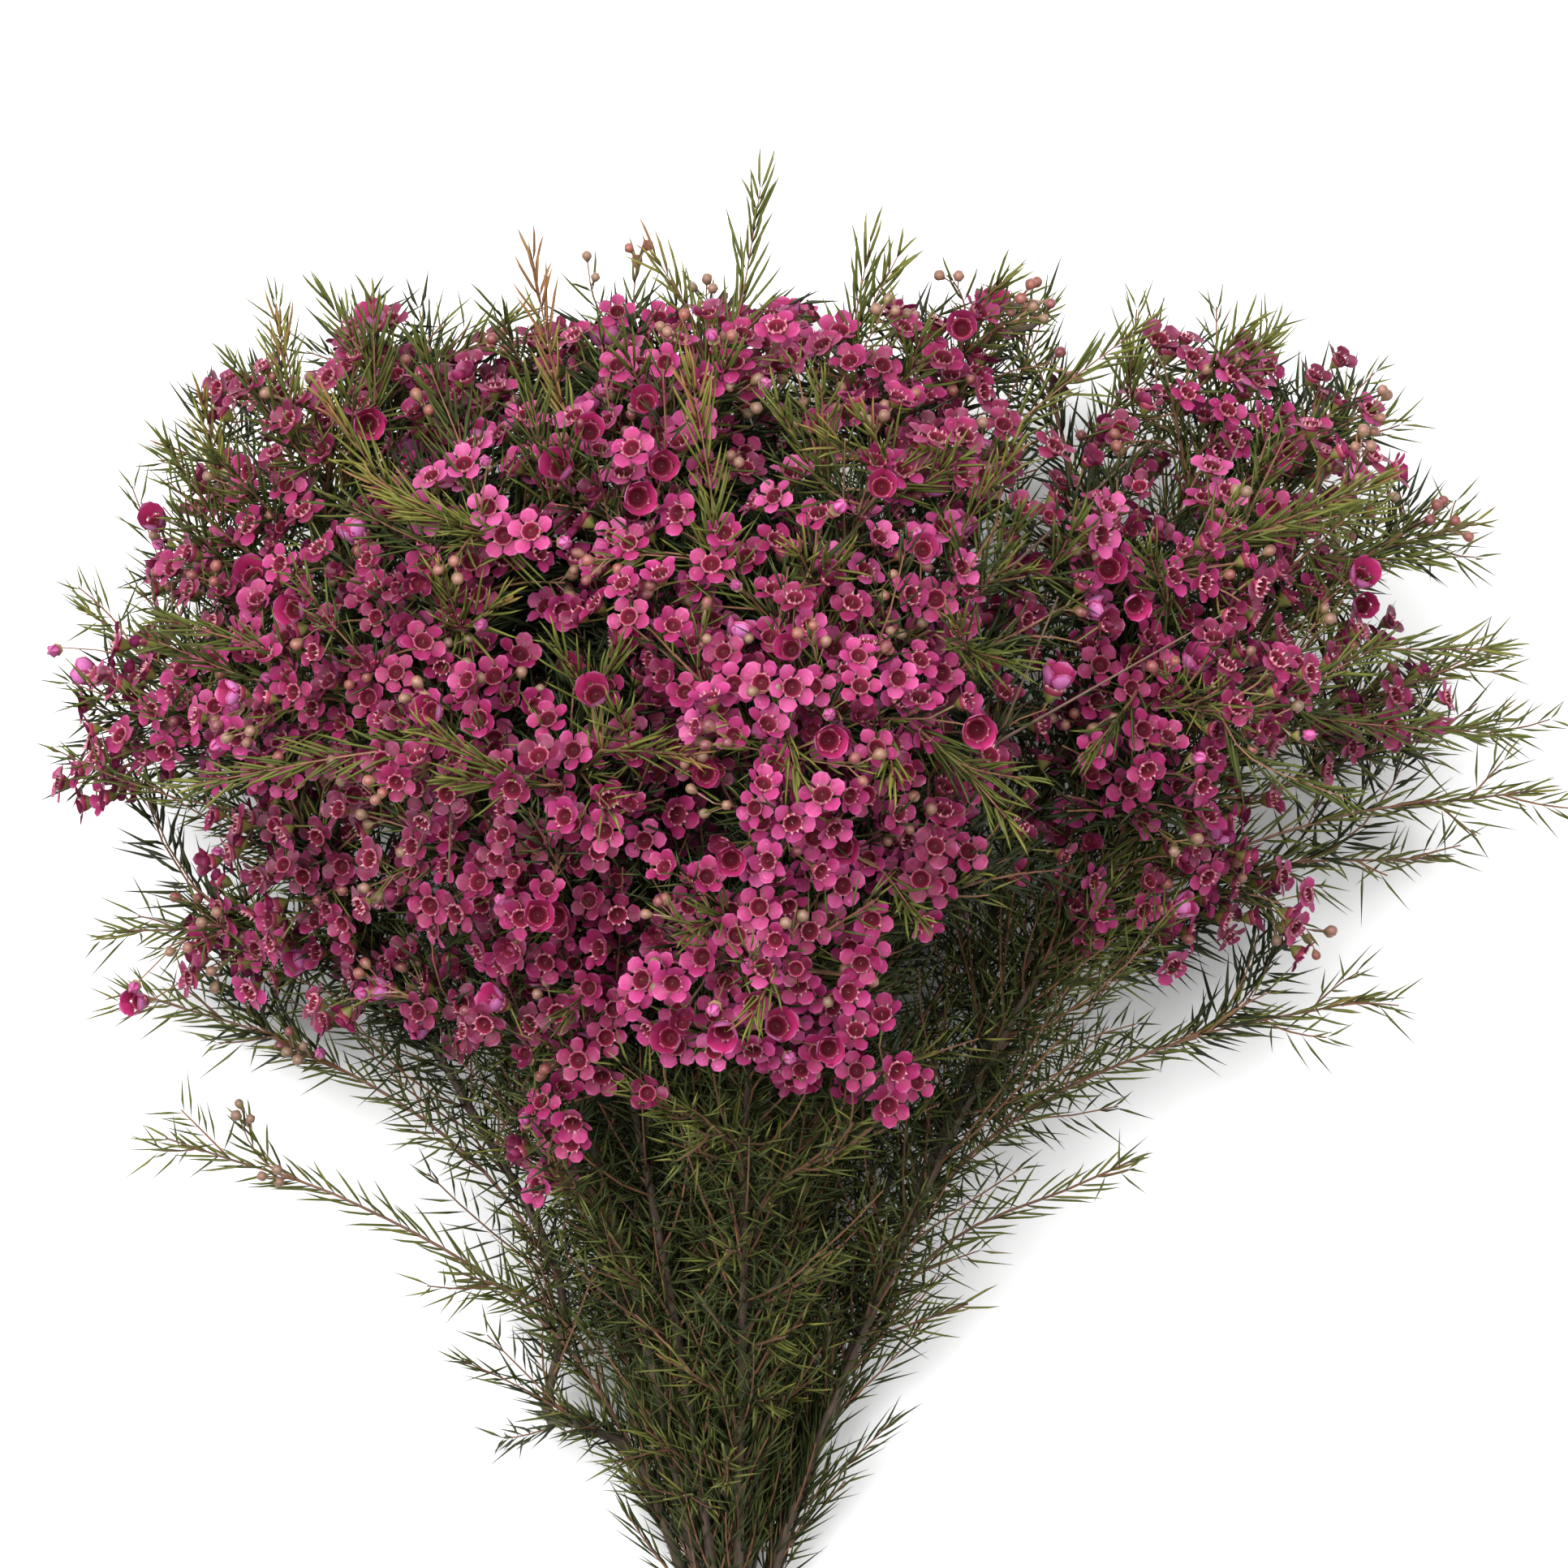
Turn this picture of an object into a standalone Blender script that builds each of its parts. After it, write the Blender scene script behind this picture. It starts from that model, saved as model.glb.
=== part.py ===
"""A cut bunch of pink waxflower, lying on its side.

Sixteen woody stems are held by one elastic tie near their cut ends and fan out from it.
Each stem forks into leafy twigs with needle leaves and into flowering twigs, whose ends
carry clusters of five-petalled flowers.  A stem with its leafy twigs is one object, and
each flowering twig's end with its flowers is another, set end to end with the twig that
carries it.

Metres.  +Y runs from the cut ends to the flowers, +Z is up, and the surface that the bunch
lies on is z = 0.  The origin is on that surface, in the middle of the tie's flat spot.
"""

import math
import random

import bmesh
import bpy
import numpy as np
from mathutils import Matrix, Quaternion, Vector

MM = 0.001
SEED = 41
GOLDEN_ANGLE = math.pi * (3 - math.sqrt(5))

# Pieces of one object overlap, and neighbouring objects stay at least this far apart
JOINT_GAP = 0.3 * MM
TWIG_CLEARANCE = 0.7 * MM
NEEDLE_CLEARANCE = 0.45 * MM
FLOOR = 0.5 * MM

# Woody stems, from the cut end to the tip
CUT_Y = -112 * MM
CUT_STAGGER = 5 * MM
CUT_SPREAD = 1.3
CUT_RISE = 4 * MM
STEM_RADIUS = 2.05 * MM
STEM_TIP_RADIUS = 1.0 * MM
STEM_SIDES = 5
STEM_STEPS = 5
FIRST_FORK = 175 * MM

# The bundle, packed in two rings round a middle stem, and the tie round it
INNER_COUNT = 5
INNER_RING = 2 * STEM_RADIUS + JOINT_GAP
OUTER_RING = INNER_RING + 2 * STEM_RADIUS + JOINT_GAP
TIE_SIDES = 12
TIE_TURNS = 3
TIE_WIDTH = 9 * MM
TIE_THICKNESS = 1.3 * MM
TIE_BORE = (OUTER_RING + STEM_RADIUS + JOINT_GAP) / math.cos(math.pi / TIE_SIDES)
TIE_FLAT_DEPTH = 0.25 * MM
BUNDLE_HEIGHT = (TIE_BORE + TIE_THICKNESS) * math.cos(math.pi / TIE_SIDES) - TIE_FLAT_DEPTH

# Twigs and needle leaves
TWIG_RADIUS = 1.0 * MM
TWIG_TIP_RADIUS = 0.72 * MM
TWIG_SIDES = 3
WHORL_SPACING = 13 * MM
WHORL_BAND = 1.3 * MM
NEEDLE_LENGTH = 24 * MM
NEEDLE_LEAN = math.radians(38)
OUTLINE_WHORLS = 3
INNER_WHORLS = 2
LONGEST_TWIG = 215 * MM
TWIG_STEP = 55 * MM
NATURAL_FORK = math.radians(34)
STEEPEST_FORK = math.radians(72)
STEEPEST_LEAN = math.radians(58)
FORK_SPACING = 14 * MM

# Flowers, in clusters at the ends of flowering twigs
FLOWER_RADIUS = 11.6 * MM
PETAL_HALF_WIDTH = 4.5 * MM
PETAL_ROOT = 2.6 * MM
PETAL_RISE = 1.2 * MM
RIM_THICKNESS = 1.2 * MM
CALYX_LENGTH = 12.5 * MM
CLUSTER_LENGTH = 30 * MM
FLOWERS_IN_FIRST_CLUSTER = 3
FLOWERS_IN_SECOND_CLUSTER = 2

# The dome of flowers, whose outward direction the flowers face
DOME_CENTRE = Vector((15, 330, 105)) * MM
DOME_HALF = Vector((250, 250, 130)) * MM

# Stem tips in millimetres: across, along, and height above the surface
STEM_TIPS = (
    (10, 295, 200), (30, 370, 212), (-35, 430, 192), (50, 415, 198), (-105, 380, 172),
    (-55, 325, 180), (-190, 372, 112), (-155, 445, 118), (-10, 495, 118), (85, 490, 122),
    (185, 470, 100), (185, 410, 132), (160, 350, 118), (-130, 420, 42), (-5, 465, 36),
    (115, 440, 38),
)

# Flowering twigs: the one or two clusters that each carries, in the same millimetres
FLOWERING_TWIGS = (
    ((-120, 495, 125), (-95, 480, 135)),
    ((-165, 475, 100),),
    ((-90, 450, 165),),
    ((-160, 430, 140), (-195, 420, 100)),
    ((-125, 410, 180),),
    ((-80, 415, 200),),
    ((-45, 450, 205), (-25, 420, 222)),
    ((-50, 490, 145),),
    ((-5, 505, 125),),
    ((-10, 465, 192),),
    ((48, 440, 212), (25, 405, 230)),
    ((70, 392, 218),),
    ((85, 505, 138),),
    ((45, 480, 168),),
    ((95, 455, 168),),
    ((-150, 375, 170), (-115, 385, 192)),
    ((-198, 370, 130), (-222, 345, 105)),
    ((-85, 362, 208),),
    ((-55, 340, 218), (-58, 308, 202)),
    ((-5, 372, 230),),
    ((35, 365, 238), (62, 362, 230)),
    ((20, 330, 230), (52, 312, 210)),
    ((-98, 320, 185),),
    ((-145, 318, 140), (-165, 345, 132)),
    ((0, 282, 222), (42, 275, 208)),
    ((-178, 285, 90),),
    ((-108, 262, 135),),
    ((-62, 248, 170),),
    ((160, 482, 120),),
    ((212, 470, 100),),
    ((128, 420, 175), (165, 415, 178)),
    ((218, 408, 125),),
    ((145, 375, 172), (190, 380, 152)),
    ((145, 338, 142), (188, 335, 102)),
    ((172, 298, 80),),
    ((97, 390, 192), (92, 348, 182)),
    ((-140, 465, 48),),
    ((-85, 495, 42), (-30, 512, 52)),
    ((32, 505, 20),),
    ((122, 485, 50),),
    ((190, 435, 16),),
    ((-188, 388, 18),),
    ((-105, 360, 17), (-35, 395, 22)),
)

# Tips of leafy twigs: round the outline, out among the flowers, and up the neck
OUTLINE_SPRAYS = (
    (10, 552, 120), (55, 535, 90), (-20, 528, 130), (-65, 527, 110), (-140, 515, 90),
    (-163, 502, 110), (-207, 465, 80), (-207, 440, 60), (-238, 405, 70), (-240, 362, 60),
    (-232, 285, 55), (-232, 262, 22), (-215, 207, 40), (-102, 158, 60), (-68, 108, 45),
    (152, 200, 60), (157, 280, 70), (245, 260, 45), (272, 312, 22), (302, 338, 70),
    (290, 365, 60), (282, 388, 90), (277, 437, 80), (245, 476, 60), (202, 507, 90),
    (155, 507, 80), (107, 522, 110), (92, 145, 45), (102, 230, 60),
)
CROWN_SPRAYS = (
    (-82, 432, 222), (-137, 462, 172), (-5, 478, 200), (102, 417, 205), (217, 440, 152),
    (172, 365, 190), (-92, 350, 220), (20, 350, 252), (-5, 420, 230), (-40, 352, 235),
    (87, 310, 192),
)
NECK_SPRAYS = (
    (-10, 220, 190), (0, 175, 150), (-32, 232, 182), (47, 215, 162), (-62, 200, 130),
    (22, 140, 112), (-22, 130, 100), (0, 92, 82), (37, 165, 112), (-42, 165, 102),
    (-5, 255, 202), (72, 245, 140), (-87, 210, 100), (-77, 175, 80), (57, 175, 90),
    (17, 115, 88), (-17, 75, 64), (12, 57, 54), (32, 120, 72), (-32, 100, 62),
    (-62, 145, 25), (57, 140, 25), (-10, 175, 14), (0, 222, 20), (77, 190, 25),
    (-87, 235, 30), (27, 65, 14), (-32, 57, 18),
)

LEAF_GREEN = (0.10, 0.19, 0.05)
PETAL_PINK = (0.62, 0.05, 0.26)
ELASTIC_TAN = (0.62, 0.45, 0.25)


def finish(name, colour, roughness):
    """A plain dielectric finish."""
    material = bpy.data.materials.new(name)
    material.use_nodes = True
    shader = material.node_tree.nodes["Principled BSDF"]
    shader.inputs["Base Color"].default_value = (*colour, 1)
    shader.inputs["Roughness"].default_value = roughness
    shader.inputs["Metallic"].default_value = 0
    return material


class Room:
    """The space taken so far, as capsules, each with the object that it belongs to."""

    def __init__(self):
        self.starts = np.empty((0, 3))
        self.ends = np.empty((0, 3))
        self.radii = np.empty(0)
        self.owners = np.empty(0, int)

    def take(self, owner, points, radius):
        self.starts = np.vstack([self.starts, np.array(points[:-1])])
        self.ends = np.vstack([self.ends, np.array(points[1:])])
        count = len(points) - 1
        self.radii = np.append(self.radii, np.full(count, radius))
        self.owners = np.append(self.owners, np.full(count, owner))

    def free(self, start, end, radius, but_for=()):
        """The least distance from a capsule to those of every other object."""
        others = ~np.isin(self.owners, but_for)
        first, last = self.starts[others], self.ends[others]
        if not len(first):
            return 1.0
        start, end = np.array(start), np.array(end)
        along, theirs, apart = end - start, last - first, start - first
        own = along @ along
        their = np.einsum("ij,ij->i", theirs, theirs)
        across = theirs @ along
        near, far = apart @ along, np.einsum("ij,ij->i", theirs, apart)
        spread = own * their - across**2
        s = np.clip((across * far - near * their) / np.maximum(spread, 1e-16), 0, 1)
        t = (across * s + far) / their
        s = np.where(t < 0, np.clip(-near / own, 0, 1), s)
        s = np.where(t > 1, np.clip((across - near) / own, 0, 1), s)
        t = np.clip(t, 0, 1)
        gap = (start + np.outer(s, along)) - (first + theirs * t[:, None])
        return float((np.linalg.norm(gap, axis=1) - self.radii[others]).min() - radius)

    def free_path(self, points, radius, but_for=()):
        return min(self.free(a, b, radius, but_for) for a, b in zip(points, points[1:]))


def arc(start, bend, end, steps):
    """Points along the curve from start to end that leaves start towards bend."""
    shares = (i / steps for i in range(steps + 1))
    return [start * (1 - t) ** 2 + bend * (2 * t * (1 - t)) + end * t**2 for t in shares]


def directions(points):
    """The direction of a path at each of its points."""
    ends = [points[0], *points, points[-1]]
    return [(after - before).normalized() for before, after in zip(ends, ends[2:])]


def lengths(points):
    """The distance along a path to each of its points."""
    found = [0.0]
    for before, after in zip(points, points[1:]):
        found.append(found[-1] + (after - before).length)
    return found


def point_at(points, distance):
    """The point of a path that is this far along it."""
    run = lengths(points)
    for i in range(1, len(points)):
        if distance <= run[i] or i == len(points) - 1:
            share = (distance - run[i - 1]) / (run[i] - run[i - 1])
            return points[i - 1].lerp(points[i], share)


def outward(point):
    """The direction out of the dome of flowers, turned up where the surface is close."""
    offset = point - DOME_CENTRE
    away = Vector(offset[i] / DOME_HALF[i] ** 2 for i in range(3)).normalized()
    away.z = max(away.z, -0.1)
    return away.normalized()


def bundle_slots(tips):
    """Where each stem goes through the tie: the middle, the inner or the outer ring.

    The stems that lean least go in the middle, and round each ring they keep the order
    of the directions that they lean in, so that no two of them cross.
    """
    slopes = [Vector((tip.x / tip.y, tip.z / tip.y)) for tip in tips]
    middle = sum(slopes, Vector((0, 0))) / len(slopes)
    leans = [slope - middle for slope in slopes]
    order = sorted(range(len(tips)), key=lambda i: leans[i].length)
    slots = {order[0]: Vector((0, 0))}
    rings = ((order[1 : 1 + INNER_COUNT], INNER_RING), (order[1 + INNER_COUNT :], OUTER_RING))
    for members, radius in rings:
        turned = sorted(members, key=lambda i: math.atan2(leans[i].y, leans[i].x))
        angles = [math.atan2(leans[i].y, leans[i].x) for i in turned]
        step = math.tau / len(turned)
        offsets = [angle - step * place for place, angle in enumerate(angles)]
        first = math.atan2(sum(map(math.sin, offsets)), sum(map(math.cos, offsets)))
        for place, i in enumerate(turned):
            angle = first + step * place
            slots[i] = Vector((math.cos(angle), math.sin(angle))) * radius
    return [slots[i] for i in range(len(tips))]


def stem_path(tip, slot, stagger):
    """The middle line of a stem, from its cut end straight through the tie to its tip."""
    cut_height = BUNDLE_HEIGHT + CUT_RISE + slot.y * CUT_SPREAD
    cut = Vector((slot.x * CUT_SPREAD, CUT_Y + stagger, cut_height))
    below = Vector((slot.x, -TIE_WIDTH * 0.8, BUNDLE_HEIGHT + slot.y))
    above = below + Vector((0, TIE_WIDTH * 1.6, 0))
    reach = tip - above
    bend = above + Vector((reach.x * 0.3, reach.y * 0.5, reach.z * 0.34))
    return [cut, below, *arc(above, bend, tip, STEM_STEPS)]


def fork_places(hosts, target, shortest):
    """Where a twig to target could leave the stems, the most natural places first."""
    found = []
    for host in hosts:
        for place, tangent in host["places"]:
            reach = target - place
            fork = tangent.angle(reach)
            if reach.angle(target) > STEEPEST_LEAN:
                continue
            if shortest < reach.length < LONGEST_TWIG and fork < STEEPEST_FORK:
                cost = reach.length * (0.35 + 1.4 * abs(fork - NATURAL_FORK))
                found.append((cost, host["owner"], place, tangent))
    return sorted(found, key=lambda entry: entry[0])


def fork_points(points, first, draw):
    """Places along a path, past a first distance, where twigs may leave it."""
    run, found = lengths(points), []
    while first < run[-1] - FORK_SPACING * 0.3:
        at = first + draw.uniform(0, FORK_SPACING * 0.5)
        step = next((i for i in range(1, len(run)) if at <= run[i]), len(run) - 1)
        found.append((point_at(points, at), (points[step] - points[step - 1]).normalized()))
        first += FORK_SPACING
    return found


def twig_path(room, hosts, target, shortest, head_length=0.0, whorls=0):
    """A clear path for a twig to target: the stem it leaves, its points and its whorls.

    The last head_length of it belongs to another object, so it keeps clear of the twig's
    own stem too.
    """
    for _, owner, place, tangent in fork_places(hosts, target, shortest)[:40]:
        length = (target - place).length
        side = tangent.orthogonal()
        for turn in range(7):
            swing = Quaternion(tangent, turn * math.tau / 6) @ side
            bend = place + tangent * length * 0.42
            bend += swing * length * 0.14 * (turn > 0)
            points = arc(place, bend, target, max(2, round(length / TWIG_STEP)))
            points, needled = leafy_path(points, whorls) if whorls else (points, [])
            if min(point.z for point in points) < TWIG_RADIUS + FLOOR:
                continue
            if room.free_path(points, TWIG_RADIUS, (owner,)) < TWIG_CLEARANCE:
                continue
            head = split_path(points, lengths(points)[-1] - head_length)[1] if head_length else []
            if not head or room.free_path(head, TWIG_RADIUS) > TWIG_CLEARANCE:
                return owner, points, needled
    return None


def split_path(points, distance):
    """A path's two parts either side of a distance along it, with the joint's gap.

    A bend close to the joint moves the joint past it, so that the two ends stay square.
    """
    run = lengths(points)
    distance = max([distance] + [at + 4 * MM for at in run[1:-1] if abs(at - distance) < 4 * MM])
    before = [p for p, at in zip(points, run) if at < distance]
    after = [p for p, at in zip(points, run) if at > distance]
    before.append(point_at(points, distance - JOINT_GAP / 2))
    after.insert(0, point_at(points, distance + JOINT_GAP / 2))
    return before, after


def grow(draw):
    """The whole bunch as lines: stems, leafy twigs, and flowering twigs with their ends."""
    room = Room()
    tips = [Vector(tip) * MM for tip in STEM_TIPS]
    hosts, leafy, carriers, heads = [], [], [], []
    for owner, (tip, slot) in enumerate(zip(tips, bundle_slots(tips))):
        points = stem_path(tip, slot, draw.uniform(-CUT_STAGGER, CUT_STAGGER))
        hosts.append({"owner": owner, "points": points, "places": fork_points(points, FIRST_FORK, draw)})
        room.take(owner, points, STEM_RADIUS)

    for number, clusters in enumerate(FLOWERING_TWIGS):
        owner = len(tips) + number
        target = Vector(clusters[0]) * MM
        found = twig_path(room, hosts, target, CLUSTER_LENGTH * 1.8, CLUSTER_LENGTH * 1.15)
        if not found:
            continue
        host, points, _ = found
        twig, head = split_path(points, lengths(points)[-1] - CLUSTER_LENGTH * 1.15)
        branches = [head]
        for cluster in clusters[1:]:
            fork, end = head[0].lerp(head[1], 0.3), Vector(cluster) * MM
            bend = fork + (head[1] - head[0]).normalized() * (end - fork).length * 0.4
            branch = arc(fork, bend, end, 2)
            if room.free_path(branch, TWIG_RADIUS) > TWIG_CLEARANCE:
                branches.append(branch)
        room.take(host, twig, TWIG_RADIUS)
        for branch in branches:
            room.take(owner, branch, TWIG_RADIUS)
        hosts.append({"owner": host, "places": fork_points(twig, FORK_SPACING, draw)})
        carriers.append((host, twig))
        heads.append((owner, branches))

    sprays = [(tip, OUTLINE_WHORLS) for tip in OUTLINE_SPRAYS]
    sprays += [(tip, INNER_WHORLS) for tip in (*CROWN_SPRAYS, *NECK_SPRAYS)]
    for tip, whorls in sprays:
        found = twig_path(room, hosts, Vector(tip) * MM, WHORL_SPACING * (whorls + 1), whorls=whorls)
        if found:
            host, points, needled = found
            room.take(host, points, TWIG_RADIUS)
            leafy.append((host, points, needled))
    return room, hosts[: len(tips)], leafy, carriers, heads


def flower_capsules(root, facing, turn):
    """Capsules that fill a flower: its stalk, its calyx, and four to each petal."""
    centre, throat = root + facing * CALYX_LENGTH, root + facing * CALYX_LENGTH * 0.4
    found = [(root + facing * 1.5 * MM, throat, 1 * MM), (throat, centre, PETAL_ROOT)]
    side = Quaternion(facing, turn) @ facing.orthogonal().normalized()
    lifted = centre + facing * (RIM_THICKNESS / 2 + PETAL_RISE)
    for i in range(5):
        out = Quaternion(facing, math.pi / 2 + (i + 0.5) * math.tau / 5) @ side
        across = facing.cross(out) * (PETAL_HALF_WIDTH - 0.6 * MM)
        tip = lifted + out * (FLOWER_RADIUS - 0.6 * MM)
        found.append((centre, tip, 1.8 * MM))
        found += [(centre, tip + across, 1 * MM), (centre, tip - across, 1 * MM)]
        found.append((tip - across, tip + across, 0.7 * MM))
    return found


def place_flowers(room, owner, branches, draw):
    """Roots, facings and turns for the flowers of one head, where they have room."""
    placed = []
    for branch in branches:
        run, headings = lengths(branch)[-1], directions(branch)
        first = branch is branches[0]
        for number in range(FLOWERS_IN_FIRST_CLUSTER if first else FLOWERS_IN_SECOND_CLUSTER):
            back = number * CLUSTER_LENGTH * 0.3
            root = point_at(branch, max(run - back - 0.8 * MM, run * 0.25))
            best = None
            for attempt in range(18):
                azimuth = number * GOLDEN_ANGLE + attempt * math.tau / 9
                ring = Quaternion(headings[-1], azimuth) @ headings[-1].orthogonal().normalized()
                lean = (0.15 if number == 0 else 0.95) + 0.3 * (attempt >= 9)
                facing = (headings[-1] * 0.5 + outward(root) * 0.8 + ring * lean).normalized()
                turn = draw.uniform(0, math.tau / 5)
                capsules = flower_capsules(root, facing, turn)
                if min(min(a.z, b.z) - radius for a, b, radius in capsules) < FLOOR:
                    continue
                crowd = [root + facing * CALYX_LENGTH - a - b * CALYX_LENGTH for a, b, _ in placed]
                apart = min((gap.length for gap in crowd), default=1.0)
                if apart < FLOWER_RADIUS * 1.1 or (best and best[0] > FLOWER_RADIUS * 1.9):
                    continue
                if min(room.free(*capsule, (owner,)) for capsule in capsules) < NEEDLE_CLEARANCE:
                    continue
                if best is None or apart > best[0]:
                    best = (apart, root, facing, turn, capsules)
            if best:
                placed.append(best[1:4])
                for start, end, radius in best[4]:
                    room.take(owner, [start, end], radius)
    return placed


def side_frames(points):
    """Two cross directions at each point of a path, carried along it without a twist."""
    headings = directions(points)
    side = headings[0].orthogonal().normalized()
    frames = []
    before = headings[0]
    for heading in headings:
        side = before.rotation_difference(heading) @ side
        side = (side - heading * side.dot(heading)).normalized()
        frames.append((side, heading.cross(side)))
        before = heading
    return frames


def tube(points, radii, sides):
    """A closed tube along a path, extruded a step at a time, and each step's side faces."""
    frames = side_frames(points)
    turns = [math.tau * i / sides for i in range(sides)]

    def shape(verts, place):
        across, up = frames[place]
        for vert, turn in zip(verts, turns):
            vert.co = points[place] + (across * math.cos(turn) + up * math.sin(turn)) * radii[place]

    bm = bmesh.new()
    bmesh.ops.create_circle(bm, cap_ends=True, segments=sides, radius=1)
    face = bm.faces[:][0]
    shape(face.verts, 0)
    root, steps = face.verts[:], []
    for place in range(1, len(points)):
        face = bmesh.ops.extrude_discrete_faces(bm, faces=[face])["faces"][0]
        shape(face.verts, place)
        steps.append([next(f for f in edge.link_faces if f != face) for edge in face.edges])
    bm.faces.new(root)
    bmesh.ops.recalc_face_normals(bm, faces=bm.faces)
    return bm, steps


def as_object(bm, name, collection):
    mesh = bpy.data.meshes.new(name)
    bm.to_mesh(mesh)
    bm.free()
    obj = bpy.data.objects.new(name, mesh)
    collection.objects.link(obj)
    return obj


def leafy_path(points, whorls):
    """A twig's points with two close ones at each whorl, and which steps are whorls."""
    run = lengths(points)
    middles = [run[-1] - 1.5 * MM - WHORL_SPACING * i for i in range(whorls)][::-1]
    stops = [at for at in run if at < middles[0] - WHORL_SPACING * 0.6]
    found = []
    for middle in middles:
        found.append(len(stops))
        stops += [middle - WHORL_BAND / 2, middle + WHORL_BAND / 2]
    stops.append(run[-1])
    return [point_at(points, stop) for stop in stops], found


def leafy_twig(room, owner, stations, whorls, collection, draw):
    """A twig whose needles are drawn out of its side faces, a whorl at a time."""
    last = len(stations) - 1
    radii = [TWIG_RADIUS + (TWIG_TIP_RADIUS - TWIG_RADIUS) * i / last for i in range(last + 1)]
    bm, steps = tube(stations, radii, TWIG_SIDES)
    headings = directions(stations)
    for whorl in whorls:
        for face in steps[whorl]:
            root = face.calc_center_median()
            middle = stations[whorl].lerp(stations[whorl + 1], 0.5)
            out = (root - middle).normalized()
            for lean, share in ((1, 1), (0.7, 0.95), (1.3, 0.85), (0.5, 0.7)):
                angle = NEEDLE_LEAN * lean * draw.uniform(0.85, 1.15)
                length = NEEDLE_LENGTH * share * draw.uniform(0.85, 1.1)
                tip = root + (headings[whorl] * math.cos(angle) + out * math.sin(angle)) * length
                tip.z = max(tip.z, FLOOR)
                if room.free(root, tip, WHORL_BAND * 0.4, (owner,)) > NEEDLE_CLEARANCE:
                    apex = bmesh.ops.poke(bm, faces=[face])["verts"][0]
                    apex.co = tip
                    room.take(owner, [root, tip], WHORL_BAND * 0.4)
                    break
    return as_object(bm, "leafy_twig", collection)


def plain_twig(points, collection, ends=(TWIG_RADIUS, TWIG_TIP_RADIUS)):
    last = len(points) - 1
    radii = [ends[0] + (ends[1] - ends[0]) * i / last for i in range(last + 1)]
    bm, _ = tube(points, radii, TWIG_SIDES)
    return as_object(bm, "plain_twig", collection)


def flower_mesh():
    """One flower: a slim cone of stalk and calyx, and five petals from its rim."""
    bm = bmesh.new()
    bmesh.ops.create_cone(
        bm, cap_ends=True, segments=5, radius1=0, radius2=PETAL_ROOT, depth=CALYX_LENGTH,
        matrix=Matrix.Translation((0, 0, CALYX_LENGTH / 2)),
    )
    bmesh.ops.remove_doubles(bm, verts=bm.verts, dist=1e-6)
    throat = max(bm.faces, key=lambda face: face.calc_center_median().z)
    throat = bmesh.ops.extrude_discrete_faces(bm, faces=[throat])["faces"][0]
    bmesh.ops.translate(bm, vec=(0, 0, RIM_THICKNESS), verts=throat.verts)
    rim = [next(face for face in edge.link_faces if face != throat) for edge in throat.edges]
    for face in bmesh.ops.extrude_discrete_faces(bm, faces=rim)["faces"]:
        middle = face.calc_center_median()
        out = Vector((middle.x, middle.y, 0)).normalized()
        across = Vector((-out.y, out.x, 0))
        for vert in face.verts:
            side = math.copysign(PETAL_HALF_WIDTH, (vert.co - middle).dot(across))
            vert.co = out * FLOWER_RADIUS + across * side
            vert.co.z = CALYX_LENGTH + RIM_THICKNESS / 2 + PETAL_RISE
    bmesh.ops.remove_doubles(bm, verts=bm.verts, dist=1e-6)
    bmesh.ops.recalc_face_normals(bm, faces=bm.faces)
    mesh = bpy.data.meshes.new("flower")
    bm.to_mesh(mesh)
    bm.free()
    return mesh


def facing_matrix(root, facing, turn):
    """Places a flower with its root at a point, looking along facing."""
    side = Quaternion(facing, turn) @ facing.orthogonal().normalized()
    turned = Matrix((side, facing.cross(side), facing)).transposed().to_4x4()
    return Matrix.Translation(root) @ turned


def united(base, repeats, name, material, collection):
    """One body from a base and the repeats that grow from it."""
    if repeats.objects:
        union = base.modifiers.new("union", "BOOLEAN")
        union.operation = "UNION"
        union.operand_type = "COLLECTION"
        union.collection = repeats
        union.solver = "EXACT"
    bpy.context.view_layer.update()
    evaluated = base.evaluated_get(bpy.context.evaluated_depsgraph_get())
    mesh = bpy.data.meshes.new_from_object(evaluated)
    bm = bmesh.new()
    bm.from_mesh(mesh)
    bmesh.ops.triangulate(bm, faces=bm.faces)
    bm.to_mesh(mesh)
    bm.free()
    mesh.materials.clear()
    mesh.materials.append(material)
    mesh.name = name
    for helper in [base, *repeats.objects]:
        bpy.data.objects.remove(helper)
    obj = bpy.data.objects.new(name, mesh)
    collection.objects.link(obj)
    return obj


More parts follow.
